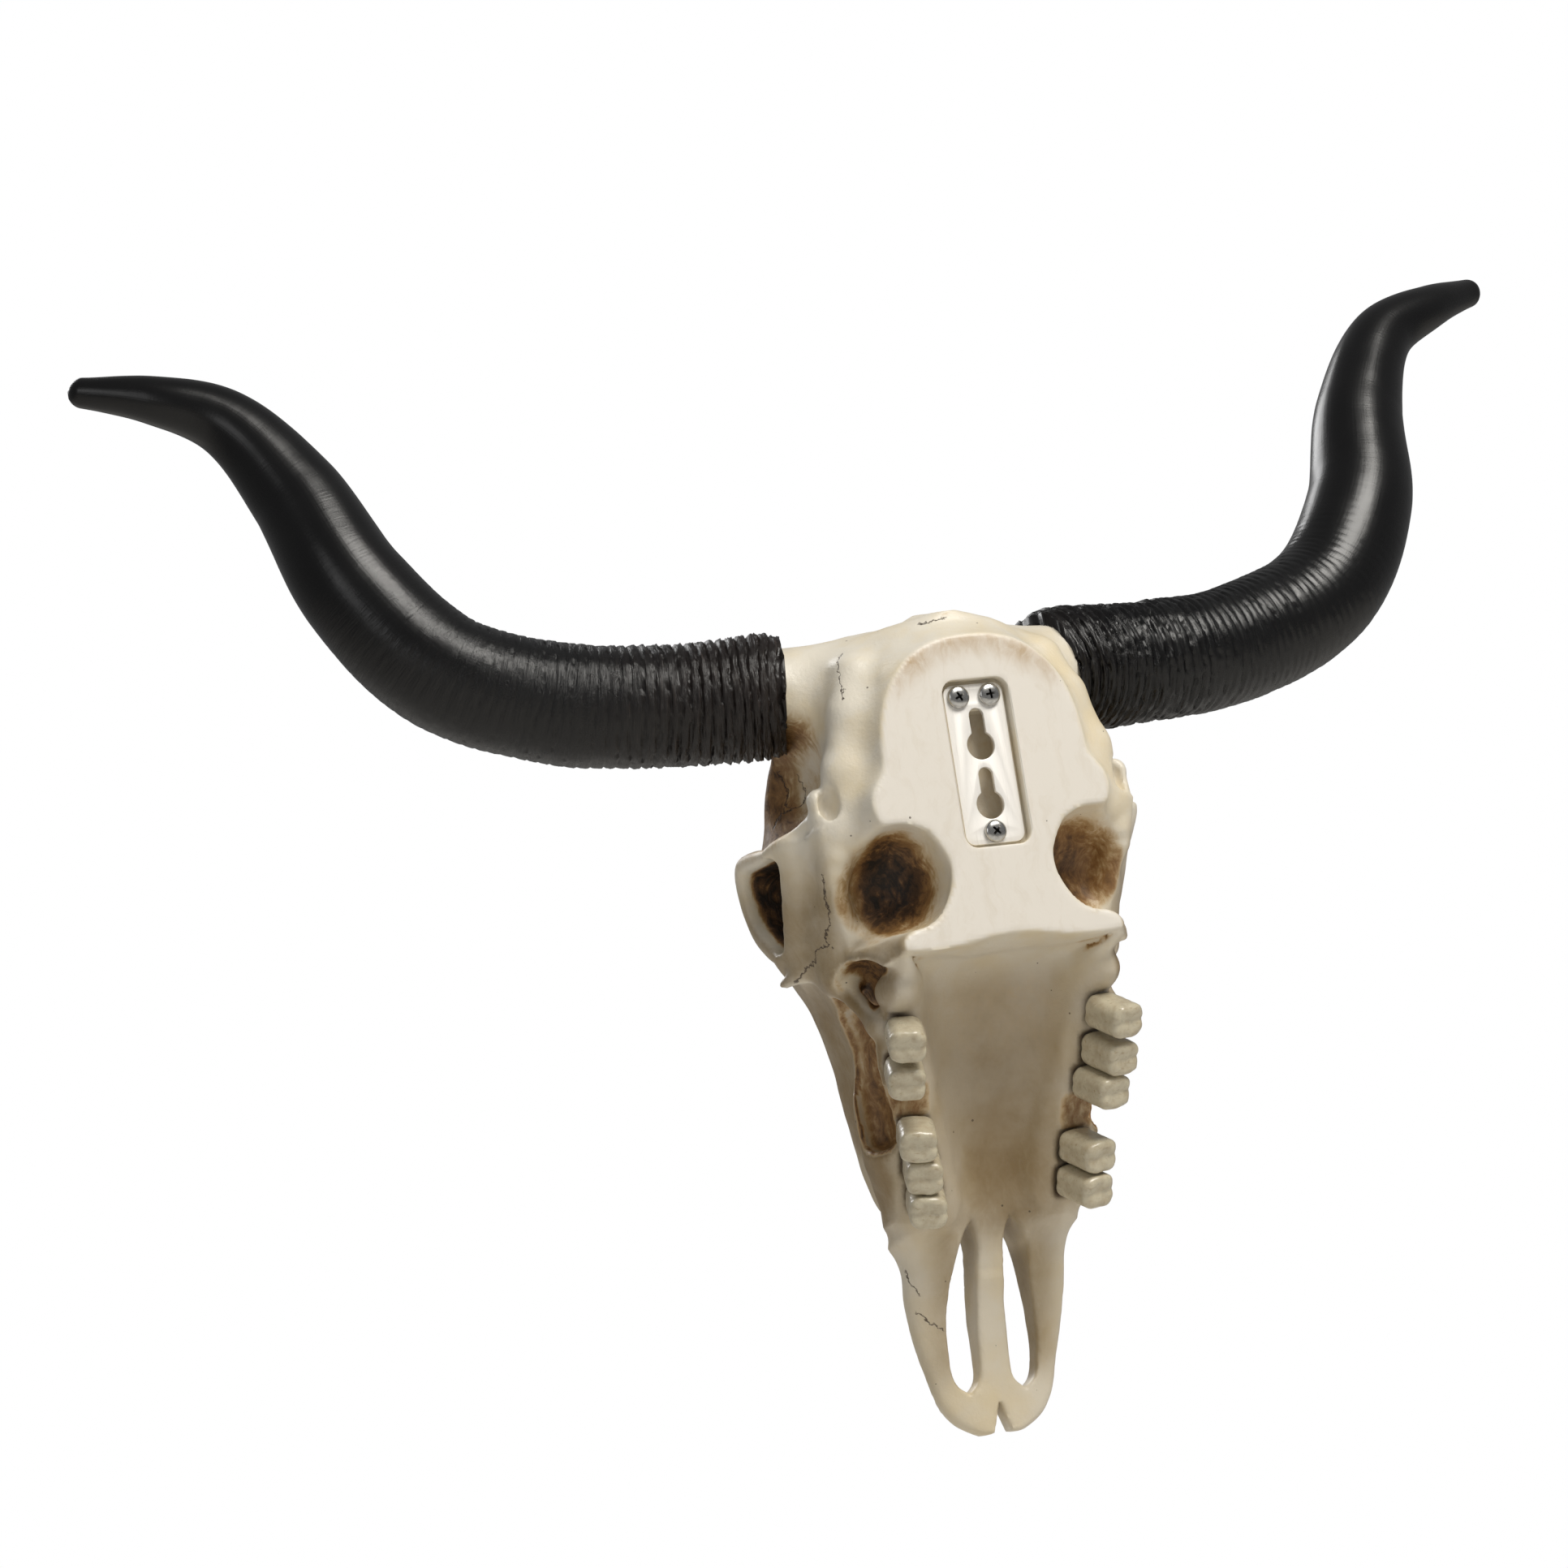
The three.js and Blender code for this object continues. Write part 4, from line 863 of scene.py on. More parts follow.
def hornSpine(side):
    # centripetal curve through the centre line's points, then evenly stepped
    known = [(horn["start"][side], *horn["startDeepUp"])] + horn["line"]
    known = [Vector((side * x, -deep, up)) for x, deep, up in known]
    known = [known[0] * 2 - known[1]] + known + [known[-1] * 2 - known[-2]]
    dense = []
    steps = 80
    for k in range(len(known) - 3):
        a, b, c, d = known[k:k + 4]
        tb = math.sqrt((b - a).length)
        tc = tb + math.sqrt((c - b).length)
        td = tc + math.sqrt((d - c).length)
        for i in range(steps):
            t = tb + (tc - tb) * i / steps
            ab, bc = a.lerp(b, t / tb), b.lerp(c, (t - tb) / (tc - tb))
            cd = c.lerp(d, (t - tc) / (td - tc))
            left, right = ab.lerp(bc, t / tc), bc.lerp(cd, (t - tb) / (td - tb))
            dense.append(left.lerp(right, (t - tb) / (tc - tb)))
    dense = np.array([list(v) for v in dense] + [list(known[-2])])
    run = np.concatenate([[0], np.cumsum(np.linalg.norm(np.diff(dense, axis=0), axis=1))])
    total = run[-1]
    # rings a millimetre or less apart over the wrinkled part, wider towards the smooth tip
    share = np.linspace(0, 1, horn["rings"]) ** horn["bunching"]
    tip = horn["tipFrom"] / total
    share = np.concatenate([share[share < 1 - tip],
                            1 - tip * np.cos(np.linspace(0, math.pi / 2, horn["tipRings"]))])
    spots = np.stack([np.interp(share * total, run, dense[:, k]) for k in range(3)], 1)
    fromTip = np.clip(1 - (1 - share) * total / horn["tipRound"], 0, 1)
    return spots, curveThrough(horn["radius"], share) * np.sqrt(np.clip(1 - fromTip ** 2, 0.0009, 1))


def hornCurve(name, side):
    spots, radii = hornSpine(side)
    # the collar turns in over the horn core before the horn proper starts
    outward = np.array((side, 0, 0))
    spots = np.concatenate([[spots[0] + outward * along for along, _ in horn["lip"]], spots])
    radii = np.concatenate([[horn["collar"] + wider for _, wider in horn["lip"]], radii])
    data = bpy.data.curves.new(name, "CURVE")
    data.dimensions = "3D"
    spline = data.splines.new("POLY")
    spline.points.add(len(spots) - 1)
    for point, spot, radius in zip(spline.points, spots, radii):
        point.co = (*(spot * mm), 1)
        point.radius = radius
    curve = bpy.data.objects.new(name, data)
    scene.collection.objects.link(curve)
    return curve


def hornTree(material):
    # sweeps a round section along the curve, then presses overlapping bands and wrinkles into it
    tree = bpy.data.node_groups.new("hornWinding", "GeometryNodeTree")
    tree.interface.new_socket("Geometry", in_out="INPUT", socket_type="NodeSocketGeometry")
    for name, value in horn["winding"].items():
        kind = "NodeSocketInt" if name == "Sides" else "NodeSocketFloat"
        tree.interface.new_socket(name, in_out="INPUT", socket_type=kind).default_value = value
    tree.interface.new_socket("Geometry", in_out="OUTPUT", socket_type="NodeSocketGeometry")
    given = addNode(tree, "NodeGroupInput").node.outputs

    # length along the spine in millimetres, and the section's own unit circle
    metres = addNode(tree, "GeometryNodeSplineParameter", out="Length")
    length = addNode(tree, mathNode, [metres, mm], operation="DIVIDE")
    spine = addNode(tree, storeNode, {"Geometry": given["Geometry"], "Name": "along", "Value": length},
                    data_type="FLOAT", domain="POINT")
    circle = addNode(tree, "GeometryNodeCurvePrimitiveCircle", {"Resolution": given["Sides"], "Radius": mm})
    position = addNode(tree, "GeometryNodeInputPosition")
    unit = addNode(tree, vectorNode, {0: position, "Scale": 1 / mm}, operation="SCALE")
    circle = addNode(tree, storeNode, {"Geometry": circle, "Name": "around", "Value": unit},
                     data_type="FLOAT_VECTOR", domain="POINT")
    sweep = addNode(tree, "GeometryNodeCurveToMesh",
                    {"Curve": spine, "Profile Curve": circle, "Fill Caps": True})
    if "Scale" in sweep.node.inputs:
        tree.links.new(addNode(tree, "GeometryNodeInputRadius"), sweep.node.inputs["Scale"])

    # horn space, in millimetres: round the girth and along the horn
    run = addNode(tree, readNode, {"Name": "along"}, data_type="FLOAT")
    around = addNode(tree, readNode, {"Name": "around"}, data_type="FLOAT_VECTOR")
    girth = addNode(tree, vectorNode, {0: around, "Scale": horn["girth"]}, operation="SCALE")
    girth = addNode(tree, splitNode, [girth]).node.outputs
    place = addNode(tree, "ShaderNodeCombineXYZ", [girth[0], girth[1], run])
    place = addNode(tree, vectorNode, [place, given["Seed"]], operation="ADD")

    # where the ragged base and the ringed part fade out
    ends = []
    for name, fadeFrom in horn["fadeFrom"].items():
        begin = addNode(tree, mathNode, [given[name], fadeFrom], operation="MULTIPLY")
        ends.append(addNode(tree, rangeNode, [run, begin, given[name], 1.0, 0.0],
                            interpolation_type="SMOOTHSTEP"))
    ragged, ringed = ends

    # noises stretched round the horn: size round and along in millimetres, detail
    worn = {}
    for name, (sizeRound, sizeAlong, detail) in horn["noises"].items():
        squeezed = addNode(tree, vectorNode, [place, (sizeRound, sizeRound, sizeAlong)], operation="DIVIDE")
        pattern = addNode(tree, noiseNode, {"Vector": squeezed, "Scale": 1.0, "Detail": detail})
        worn[name] = addNode(tree, mathNode, [pattern, 0.5], operation="SUBTRACT")

    # overlapping bands: a wandering saw whose steep side faces the tip
    phase = addNode(tree, mathNode, [run, given["Band Spacing"]], operation="DIVIDE")
    phase = addNode(tree, mathNode, [worn["wander"], horn["bandWander"], phase], operation="MULTIPLY_ADD")
    saw = addNode(tree, mathNode, [phase], operation="FRACT")
    saw = addNode(tree, mathNode, [saw, horn["bandBite"]], operation="POWER")
    # wrinkles: thin lines where the wrinkle noise crosses its middle
    line = addNode(tree, mathNode, [worn["wrinkle"]], operation="ABSOLUTE")
    line = addNode(tree, rangeNode, [line, 0.0, horn["lineWide"], 1.0, 0.0])
    pressings = []
    for form, onRings, onRagged, depth in ((saw, 0.5, 1.0, "Band Depth"), (line, 0.2, 0.6, "Wrinkle Depth")):
        strength = addNode(tree, mathNode, [ragged, onRagged], operation="MULTIPLY")
        strength = addNode(tree, mathNode, [ringed, onRings, strength], operation="MULTIPLY_ADD")
        form = addNode(tree, mathNode, [form, strength], operation="MULTIPLY")
        pressings.append(addNode(tree, mathNode, [form, given[depth]], operation="MULTIPLY"))

    # lumps at the base, a slow swell along the whole horn
    lumps = addNode(tree, mathNode, [ragged, horn["lumpHigh"]], operation="MULTIPLY")
    lumps = addNode(tree, mathNode, [worn["lumps"], lumps], operation="MULTIPLY")
    swell = addNode(tree, mathNode, [ringed, horn["swellRinged"], horn["swellHigh"]],
                    operation="MULTIPLY_ADD")
    height = addNode(tree, mathNode, [worn["swell"], swell, lumps], operation="MULTIPLY_ADD")
    for pressing in pressings:
        height = addNode(tree, mathNode, [height, pressing], operation="SUBTRACT")
    height = addNode(tree, mathNode, [height, horn["mostHigh"]], operation="MINIMUM")
    push = addNode(tree, mathNode, [height, mm], operation="MULTIPLY")
    push = addNode(tree, vectorNode, {0: addNode(tree, "GeometryNodeInputNormal"), "Scale": push},
                   operation="SCALE")

    # the collar's edge runs unevenly along the horn core
    nearEdge = addNode(tree, rangeNode, [run, *horn["edgeRun"], horn["edgeUneven"] * mm, 0.0])
    uneven = addNode(tree, mathNode, [worn["edge"], nearEdge], operation="MULTIPLY")
    # and it leans: further out on the wall side and below than on the face side and above
    startDeep, startUp = horn["startDeepUp"]
    spot = addNode(tree, splitNode, [addNode(tree, "GeometryNodeInputPosition")]).node.outputs
    middle = startDeep * mm * horn["winding"]["Lean Deep"]
    lean = addNode(tree, mathNode, [spot["Y"], given["Lean Deep"], middle], operation="MULTIPLY_ADD")
    rise = addNode(tree, mathNode, [spot["Z"], startUp * mm], operation="SUBTRACT")
    lean = addNode(tree, mathNode, [rise, -horn["leanUp"], lean], operation="MULTIPLY_ADD")
    nearBase = addNode(tree, rangeNode, [run, *horn["leanRun"], 1.0, 0.0], interpolation_type="SMOOTHSTEP")
    lean = addNode(tree, mathNode, [lean, nearBase], operation="MULTIPLY")
    outward = addNode(tree, mathNode, [spot["X"]], operation="SIGN")
    uneven = addNode(tree, mathNode, [lean, outward, uneven], operation="MULTIPLY_ADD")
    push = addNode(tree, vectorNode, [push, addNode(tree, "ShaderNodeCombineXYZ", [uneven])], operation="ADD")
    horned = addNode(tree, "GeometryNodeSetPosition", {"Geometry": sweep, "Offset": push})
    for name, value, kind in (("hornSpace", place, "FLOAT_VECTOR"), ("pressed", height, "FLOAT")):
        horned = addNode(tree, storeNode, {"Geometry": horned, "Name": name, "Value": value},
                         data_type=kind, domain="POINT")
    horned = addNode(tree, "GeometryNodeSetShadeSmooth", [horned])
    horned = addNode(tree, "GeometryNodeRealizeInstances", [horned])
    horned = addNode(tree, "GeometryNodeSetMaterial", {"Geometry": horned, "Material": material})
    addNode(tree, "NodeGroupOutput", [horned])
    return tree


def setInput(modifier, tree, name, value):
    for socket in tree.interface.items_tree:
        if socket.in_out == "INPUT" and socket.name == name:
            modifier[socket.identifier] = value


def growFrom(source, name):
    # the evaluated result as a plain mesh piece; the source goes
    evaluated = source.evaluated_get(bpy.context.evaluated_depsgraph_get())
    mesh = bpy.data.meshes.new_from_object(evaluated)
    mesh.name = name
    piece = bpy.data.objects.new(name, mesh)
    scene.collection.objects.link(piece)
    bpy.data.objects.remove(source)
    return piece


def makeHorn(name, side, tree, seed):
    curve = hornCurve(name + "Spine", side)
    modifier = curve.modifiers.new("winding", "NODES")
    modifier.node_group = tree
    setInput(modifier, tree, "Seed", seed)
    setInput(modifier, tree, "Band Spacing", horn["winding"]["Band Spacing"] + horn["spacingShift"] * side)
    return growFrom(curve, name)


# hanger plate: stamped sheet with two keyholes, their rounds this far above and below its centre
plate = {"centreUp": 46, "halfWide": 11, "halfTall": 28.25, "corner": 3.5, "thick": 1.6, "face": 3.0,
         "edge": 0.22, "roundRadius": 5.1, "slotRadius": 2.7, "slotRise": 10.5, "keyholes": (6.5, -14.5),
         "screwHole": 2.2, "sharpFrom": 35}
# screws: (x, above the plate's centre, turn of the head in radians); sizes of the pan head and its cross
screw = {"places": [(5.8, 23.9, 0.45), (-5.8, 23.9, 0.1), (0, -24.1, 0.75)], "headRadius": 4.0,
         "headHeight": 2.3, "headRim": 0.6, "shankRadius": 1.8, "shankLength": 8.5, "point": 2.2, "turns": 56,
         "recessArm": 2.15, "recessFoot": 0.7, "recessWide": (0.45, 0.275), "recessDeep": 1.5,
         "recessOver": 0.4, "sunk": 0.05, "sharpFrom": 38}


def arcPoints(x, z, radius, start, sweep, count):
    return [(x + radius * math.cos(a), z + radius * math.sin(a))
            for a in np.linspace(start, start + sweep, count)]


def keyholeOutline(up):
    # round below, slot above; the bevel takes the edge back out to size
    r, s = plate["roundRadius"] + plate["edge"], plate["slotRadius"] + plate["edge"]
    half = math.asin(s / r)
    return (arcPoints(0, up + plate["slotRise"], s, 0, math.pi, 19)
            + arcPoints(0, up, r, math.pi / 2 + half, 2 * math.pi - 2 * half, 49))


def makePlate():
    data = bpy.data.curves.new("hangerSheet", "CURVE")
    data.dimensions = "2D"
    data.fill_mode = "BOTH"
    middle, edge = plate["centreUp"], plate["edge"]
    halfTall = plate["halfTall"] - edge
    outlines = [ringPoints(plate["halfWide"] - edge, middle - halfTall, middle + halfTall,
                           plate["corner"] - edge, 10)]
    outlines += [keyholeOutline(middle + up) for up in plate["keyholes"]]
    outlines += [arcPoints(x, middle + up, plate["screwHole"] + edge, 0, 2 * math.pi, 25)[:-1]
                 for x, up, _ in screw["places"]]
    for outline in outlines:
        spline = data.splines.new("POLY")
        spline.points.add(len(outline) - 1)
        for point, (x, z) in zip(spline.points, outline):
            point.co = (x * mm, z * mm, 0, 1)
        spline.use_cyclic_u = True
    data.extrude = (plate["thick"] / 2 - edge) * mm
    data.bevel_depth = edge * mm
    data.bevel_resolution = 2
    sheet = bpy.data.objects.new("hangerSheet", data)
    scene.collection.objects.link(sheet)
    bpy.context.view_layer.update()
    piece = growFrom(sheet, "hangerPlateSheet")
    # stand it up in its pocket: the sheet's own Y is up the wall
    deep = -(plate["face"] + plate["thick"] / 2) * mm
    piece.data.transform(Matrix(((1, 0, 0, 0), (0, 0, -1, deep), (0, 1, 0, 0), (0, 0, 0, 1))))
    turnOutwards(piece.data, 1e-6)
    shadeSmooth(piece.data, plate["sharpFrom"])
    return piece


def screwBody():
    # pan head and shank, turned about the axis along Y, underside of the head at 0
    r, h, s, foot = screw["headRadius"], screw["headHeight"], screw["shankRadius"], -screw["shankLength"]
    rim = screw["headRim"]
    profile = [(0, foot), (s * 0.4, foot), (s, foot + screw["point"]), (s, 0), (r - 0.25, 0), (r, 0.2)]
    profile += [(r * math.cos(a) ** 0.75, rim + (h - rim) * math.sin(a) ** 0.85)
                for a in np.linspace(0, math.pi / 2, 12)[:-1]]
    count = screw["turns"]
    vertices, rings = [], []
    for radius, y in profile + [(0, h)]:
        if radius == 0:
            rings.append([len(vertices)] * count)
            vertices.append((0, y * mm, 0))
            continue
        rings.append([len(vertices) + k for k in range(count)])
        circle = arcPoints(0, 0, radius * mm, 0, 2 * math.pi, count + 1)[:-1]
        vertices += [(x, y * mm, z) for x, z in circle]
    faces = []
    for a, b in zip(rings, rings[1:]):
        for k in range(count):
            n = (k + 1) % count
            face = [a[k], b[k], b[n], a[n]]
            faces.append([v for i, v in enumerate(face) if v not in face[:i]])
    body = meshPiece("screwBody", vertices, faces)
    turnOutwards(body.data)
    return body


def screwShape():
    body = screwBody()
    # the recess: two wedges that cross, narrower and shallower towards their ends
    r, h, rim, arm = screw["headRadius"], screw["headHeight"], screw["headRim"], screw["recessArm"]
    mouthWide, footWide = screw["recessWide"]
    levels = ((arm, h + screw["recessOver"], mouthWide),
              (screw["recessFoot"], h - screw["recessDeep"], footWide))
    corners = [(x * long, y, z * wide) for long, y, wide in levels
               for x, z in ((-1, 1), (1, 1), (1, -1), (-1, -1))]
    sides = [(0, 1, 2, 3), (7, 6, 5, 4), (0, 4, 5, 1), (1, 5, 6, 2), (2, 6, 7, 3), (3, 7, 4, 0)]
    wedges = []
    for turn in (0, math.pi / 2):
        c, s = math.cos(turn), math.sin(turn)
        spun = [((x * c - z * s) * mm, y * mm, (x * s + z * c) * mm) for x, y, z in corners]
        wedge = meshPiece("recessWedge", spun, sides)
        turnOutwards(wedge.data)
        cut = body.modifiers.new("recess", "BOOLEAN")
        cut.object = wedge
        cut.solver = "EXACT"
        wedges.append(wedge)
    bpy.context.view_layer.update()
    body = growFrom(body, "screwPattern")
    for wedge in wedges:
        bpy.data.objects.remove(wedge)
    # painted shade lies wherever the head is below its dome
    spots = np.array([v.co[:] for v in body.data.vertices]) / mm
    fromAxis = np.hypot(spots[:, 0], spots[:, 2])
    dome = rim + (h - rim) * np.clip(1 - (fromAxis / r) ** 2.4, 0, 1) ** 0.5
    recessShade = smoothstep(0.12, 0.6, dome - spots[:, 1]) * (spots[:, 1] > 0.3) * (fromAxis < arm + 0.5)
    writeAttribute(body.data, "recess", recessShade)
    shadeSmooth(body.data, screw["sharpFrom"])
    return body


def makeScrews(material):
    # one turned shape set at each screw place, each head stopped at its own turn
    shape = screwShape()
    y = (screw["sunk"] - plate["face"]) * mm
    places = [(x * mm, y, (plate["centreUp"] + up) * mm) for x, up, _ in screw["places"]]
    spots = meshPiece("screwSpots", places, [])
    writeAttribute(spots.data, "headTurn", np.array([turn for _, _, turn in screw["places"]]))
    tree = bpy.data.node_groups.new("screwSet", "GeometryNodeTree")
    tree.interface.new_socket("Geometry", in_out="INPUT", socket_type="NodeSocketGeometry")
    tree.interface.new_socket("Screw", in_out="INPUT", socket_type="NodeSocketObject")
    tree.interface.new_socket("Geometry", in_out="OUTPUT", socket_type="NodeSocketGeometry")
    given = addNode(tree, "NodeGroupInput").node.outputs
    turned = addNode(tree, readNode, {"Name": "headTurn"}, data_type="FLOAT")
    pose = addNode(tree, "ShaderNodeCombineXYZ", {1: turned})
    pattern = addNode(tree, "GeometryNodeObjectInfo", {"Object": given["Screw"]}, out="Geometry")
    screws = addNode(tree, "GeometryNodeInstanceOnPoints",
                     {"Points": given["Geometry"], "Instance": pattern, "Rotation": pose})
    screws = addNode(tree, "GeometryNodeRealizeInstances", [screws])
    screws = addNode(tree, "GeometryNodeSetMaterial", {"Geometry": screws, "Material": material})
    addNode(tree, "NodeGroupOutput", [screws])
    modifier = spots.modifiers.new("set", "NODES")
    modifier.node_group = tree
    setInput(modifier, tree, "Screw", shape)
    bpy.context.view_layer.update()
    piece = growFrom(spots, "plateScrews")
    bpy.data.objects.remove(shape)
    return piece


def newMaterial(name):
    material = bpy.data.materials.new(name)
    material.use_nodes = True
    return material, material.node_tree, material.node_tree.nodes["Principled BSDF"]


def inMillimetres(tree):
    place = addNode(tree, "ShaderNodeTexCoord", out="Object")
    return addNode(tree, vectorNode, {0: place, "Scale": 1 / mm}, operation="SCALE")


# finishes of the cast skull; patterns as size in millimetres (side, deep, up), detail, roughness
# the film tone is laid on as a brown film that also stands in for painted shade
resin = {"cream": "#DFD8C9", "warm": "#DCCBA6", "agedAndShaded": "#C2B18F", "film": "#8A7450", "pad": "#E2DCD2",
         "padStreak": "#D6CDBE", "outline": "#3F2814", "edgeStain": "#B0936A", "speck": "#3B2B1C",
         "crack": "#33210F",
         "wash": [(0.0, "#DFD8C9"), (0.2, "#C2A87E"), (0.42, "#8E6A3F"), (0.68, "#513820"), (1.0, "#1C120A")],
         "patterns": {"cloud": ((24, 24, 24), 4.0, 0.55), "blotch": ((5, 5, 5), 6.0, 0.65),
                      "grain": ((1.3, 1.3, 1.3), 5.0, 0.6), "waver": ((1.8, 1.8, 1.8), 2.0, 0.5),
                      "strokes": ((2, 2, 8), 4.0, 0.6), "sanding": ((5, 5, 40), 5.0, 0.7)},
         "bent": ("strokes", "sanding"), "bendSize": 14, "bendBy": 16.0, "specksApart": 4.5}


def castResin():
    # polyester resin cast in a mould, brushed with brown wash and wiped back: cream on what stands out, brown
    # to black in what lies deep, painted shade low down, on the palate and in the keyhole well, a soft gloss
    # over all
    material, tree, shader = newMaterial("castPolyesterResin")
    sized = inMillimetres(tree)
    up = addNode(tree, splitNode, [sized], out="Z")
    wash, filmAndShade, gum, flatBack, rimStain = (
        addNode(tree, valueNode, attribute_name=name, out="Fac")
        for name in ("wash", "film", "gum", "flatBack", "rimStain"))

    # clouds of tone, blotches of wash, fine grain and a waver; brush strokes and sanding bend a little
    bend = addNode(tree, noiseNode, {"Vector": sized, "Scale": 1 / resin["bendSize"], "Detail": 2.0},
                   out="Color")
    bend = addNode(tree, vectorNode, [bend, (0.5, 0.5, 0.5)], operation="SUBTRACT")
    bend = addNode(tree, vectorNode, {0: bend, "Scale": resin["bendBy"]}, operation="SCALE")
    bent = addNode(tree, vectorNode, [sized, bend], operation="ADD")
    pattern = {}
    for name, (size, detail, roughness) in resin["patterns"].items():
        source = bent if name in resin["bent"] else sized
        scaled = addNode(tree, vectorNode, [source, size], operation="DIVIDE")
        pattern[name] = addNode(tree, noiseNode, {"Vector": scaled, "Scale": 1.0, "Detail": detail,
                                                  "Roughness": roughness})
    cloud, blotch, grain, waver, strokes, sanding = pattern.values()

    # cream, warmer in clouds, darker below the eyes with an aged tone and painted shade, with a thin brown
    # film and painted shade low down
    warmth = addNode(tree, rangeNode, [cloud, 0.42, 0.68, 0.0, 0.75])
    low = addNode(tree, rangeNode, [up, 28.0, -70.0, 0.0, 0.3], interpolation_type="SMOOTHSTEP")
    film = addNode(tree, mathNode, [cloud, 1.0, 0.3], operation="MULTIPLY_ADD")
    film = addNode(tree, mathNode, [strokes, 0.3, film], operation="MULTIPLY_ADD")
    film = addNode(tree, mathNode, [film, filmAndShade], operation="MULTIPLY")

    # flat back: paler, with faint streaks from sanding and a brown edge under the crown
    streak = addNode(tree, rangeNode, [sanding, 0.5, 0.75, 0.0, 0.6])
    pad = addNode(tree, mixNode, {0: streak, 6: resin["pad"], 7: resin["padStreak"]}, out=2, data_type="RGBA")
    stain = addNode(tree, rangeNode, [sanding, 0.35, 0.7, 0.25, 0.85])
    stain = addNode(tree, mathNode, [stain, rimStain], operation="MULTIPLY")

    # brown wash and its painted shade: broken up by blotches and brush strokes where it thins out; and the
    # teeth's outlines
    broken = addNode(tree, mathNode, [strokes, 1.3], operation="MULTIPLY")
    broken = addNode(tree, mathNode, [blotch, 1.1, broken], operation="MULTIPLY_ADD")
    broken = addNode(tree, rangeNode, [broken, 0.75, 1.6, 0.45, 1.35])
    depth = addNode(tree, mathNode, [wash, broken], operation="MULTIPLY")
    washedAndShaded = addNode(tree, rampNode, [depth], stops=resin["wash"])
    covered = addNode(tree, rangeNode, [depth, 0.04, 0.3])
    outline = addNode(tree, rangeNode, [blotch, 0.3, 0.62, 0.35, 1.0])
    outline = addNode(tree, mathNode, [outline, gum], operation="MULTIPLY")

    # small dark specks, a few to each square centimetre
    dots = addNode(tree, "ShaderNodeTexVoronoi", {"Vector": sized, "Scale": 1 / resin["specksApart"]})
    dots = dots.node.outputs
    chosen = addNode(tree, "ShaderNodeSeparateColor", [dots["Color"]])
    size = addNode(tree, rangeNode, [chosen, 0.72, 1.0, 0.0, 0.1])
    speck = addNode(tree, mathNode, [dots["Distance"], size], operation="LESS_THAN")
    speck = addNode(tree, mathNode, [speck, 0.75], operation="MULTIPLY")

    # cracks and sutures: a thin wavering line, drawn a touch wide so that it shows
    seam = addNode(tree, valueNode, attribute_name="seam", out="Vector")
    across, away, _ = addNode(tree, splitNode, [seam]).node.outputs
    waver = addNode(tree, mathNode, [waver, 3.6, -1.8], operation="MULTIPLY_ADD")
    offset = addNode(tree, mathNode, [across, waver], operation="ADD")
    offset = addNode(tree, mathNode, [offset], operation="ABSOLUTE")
    width = addNode(tree, rangeNode, [grain, 0.3, 0.7, 0.25, 0.6])
    crack = addNode(tree, mathNode, [offset, width], operation="DIVIDE")
    crack = addNode(tree, mathNode, [crack, 1.0], operation="MINIMUM")
    crack = addNode(tree, mathNode, [1.0, crack], operation="SUBTRACT")
    close = addNode(tree, rangeNode, [away, 2.4, 1.6])
    crack = addNode(tree, mathNode, [crack, close], operation="MULTIPLY")

    colour = resin["cream"]
    for cover, tint in ((warmth, resin["warm"]), (low, resin["agedAndShaded"]), (film, resin["film"]), (flatBack, pad),
                        (stain, resin["edgeStain"]), (covered, washedAndShaded), (outline, resin["outline"]),
                        (speck, resin["speck"]), (crack, resin["crack"])):
        colour = addNode(tree, mixNode, {0: cover, 6: colour, 7: tint}, out=2, data_type="RGBA")
    tree.links.new(colour, shader.inputs["Base Color"])

    # gloss: satin, duller where the wash lies; relief: grain, strokes and the cracks
    dull = addNode(tree, rangeNode, [depth, 0.0, 0.8, 0.32, 0.52])
    dull = addNode(tree, mathNode, [blotch, 0.16, dull], operation="MULTIPLY_ADD")
    tree.links.new(dull, shader.inputs["Roughness"])
    uneven = addNode(tree, mathNode, [blotch, 0.5], operation="MULTIPLY")
    uneven = addNode(tree, mathNode, [grain, 0.5, uneven], operation="MULTIPLY_ADD")
    smoothBack = addNode(tree, mathNode, [flatBack, -0.8, 1.0], operation="MULTIPLY_ADD")
    uneven = addNode(tree, mathNode, [uneven, smoothBack], operation="MULTIPLY")
    brushed = addNode(tree, mathNode, [wash, 0.9], operation="MULTIPLY")
    uneven = addNode(tree, mathNode, [strokes, brushed, uneven], operation="MULTIPLY_ADD")
    uneven = addNode(tree, mathNode, [uneven, crack], operation="SUBTRACT")
    relief = addNode(tree, bumpNode, {"Height": uneven, "Distance": 0.45 * mm, "Strength": 0.6})
    tree.links.new(relief, shader.inputs["Normal"])
    return material


enamel = {"crown": "#C0B79F", "stain": "#8D7450", "root": "#33200F", "coat": 0.35, "coatRoughness": 0.12}


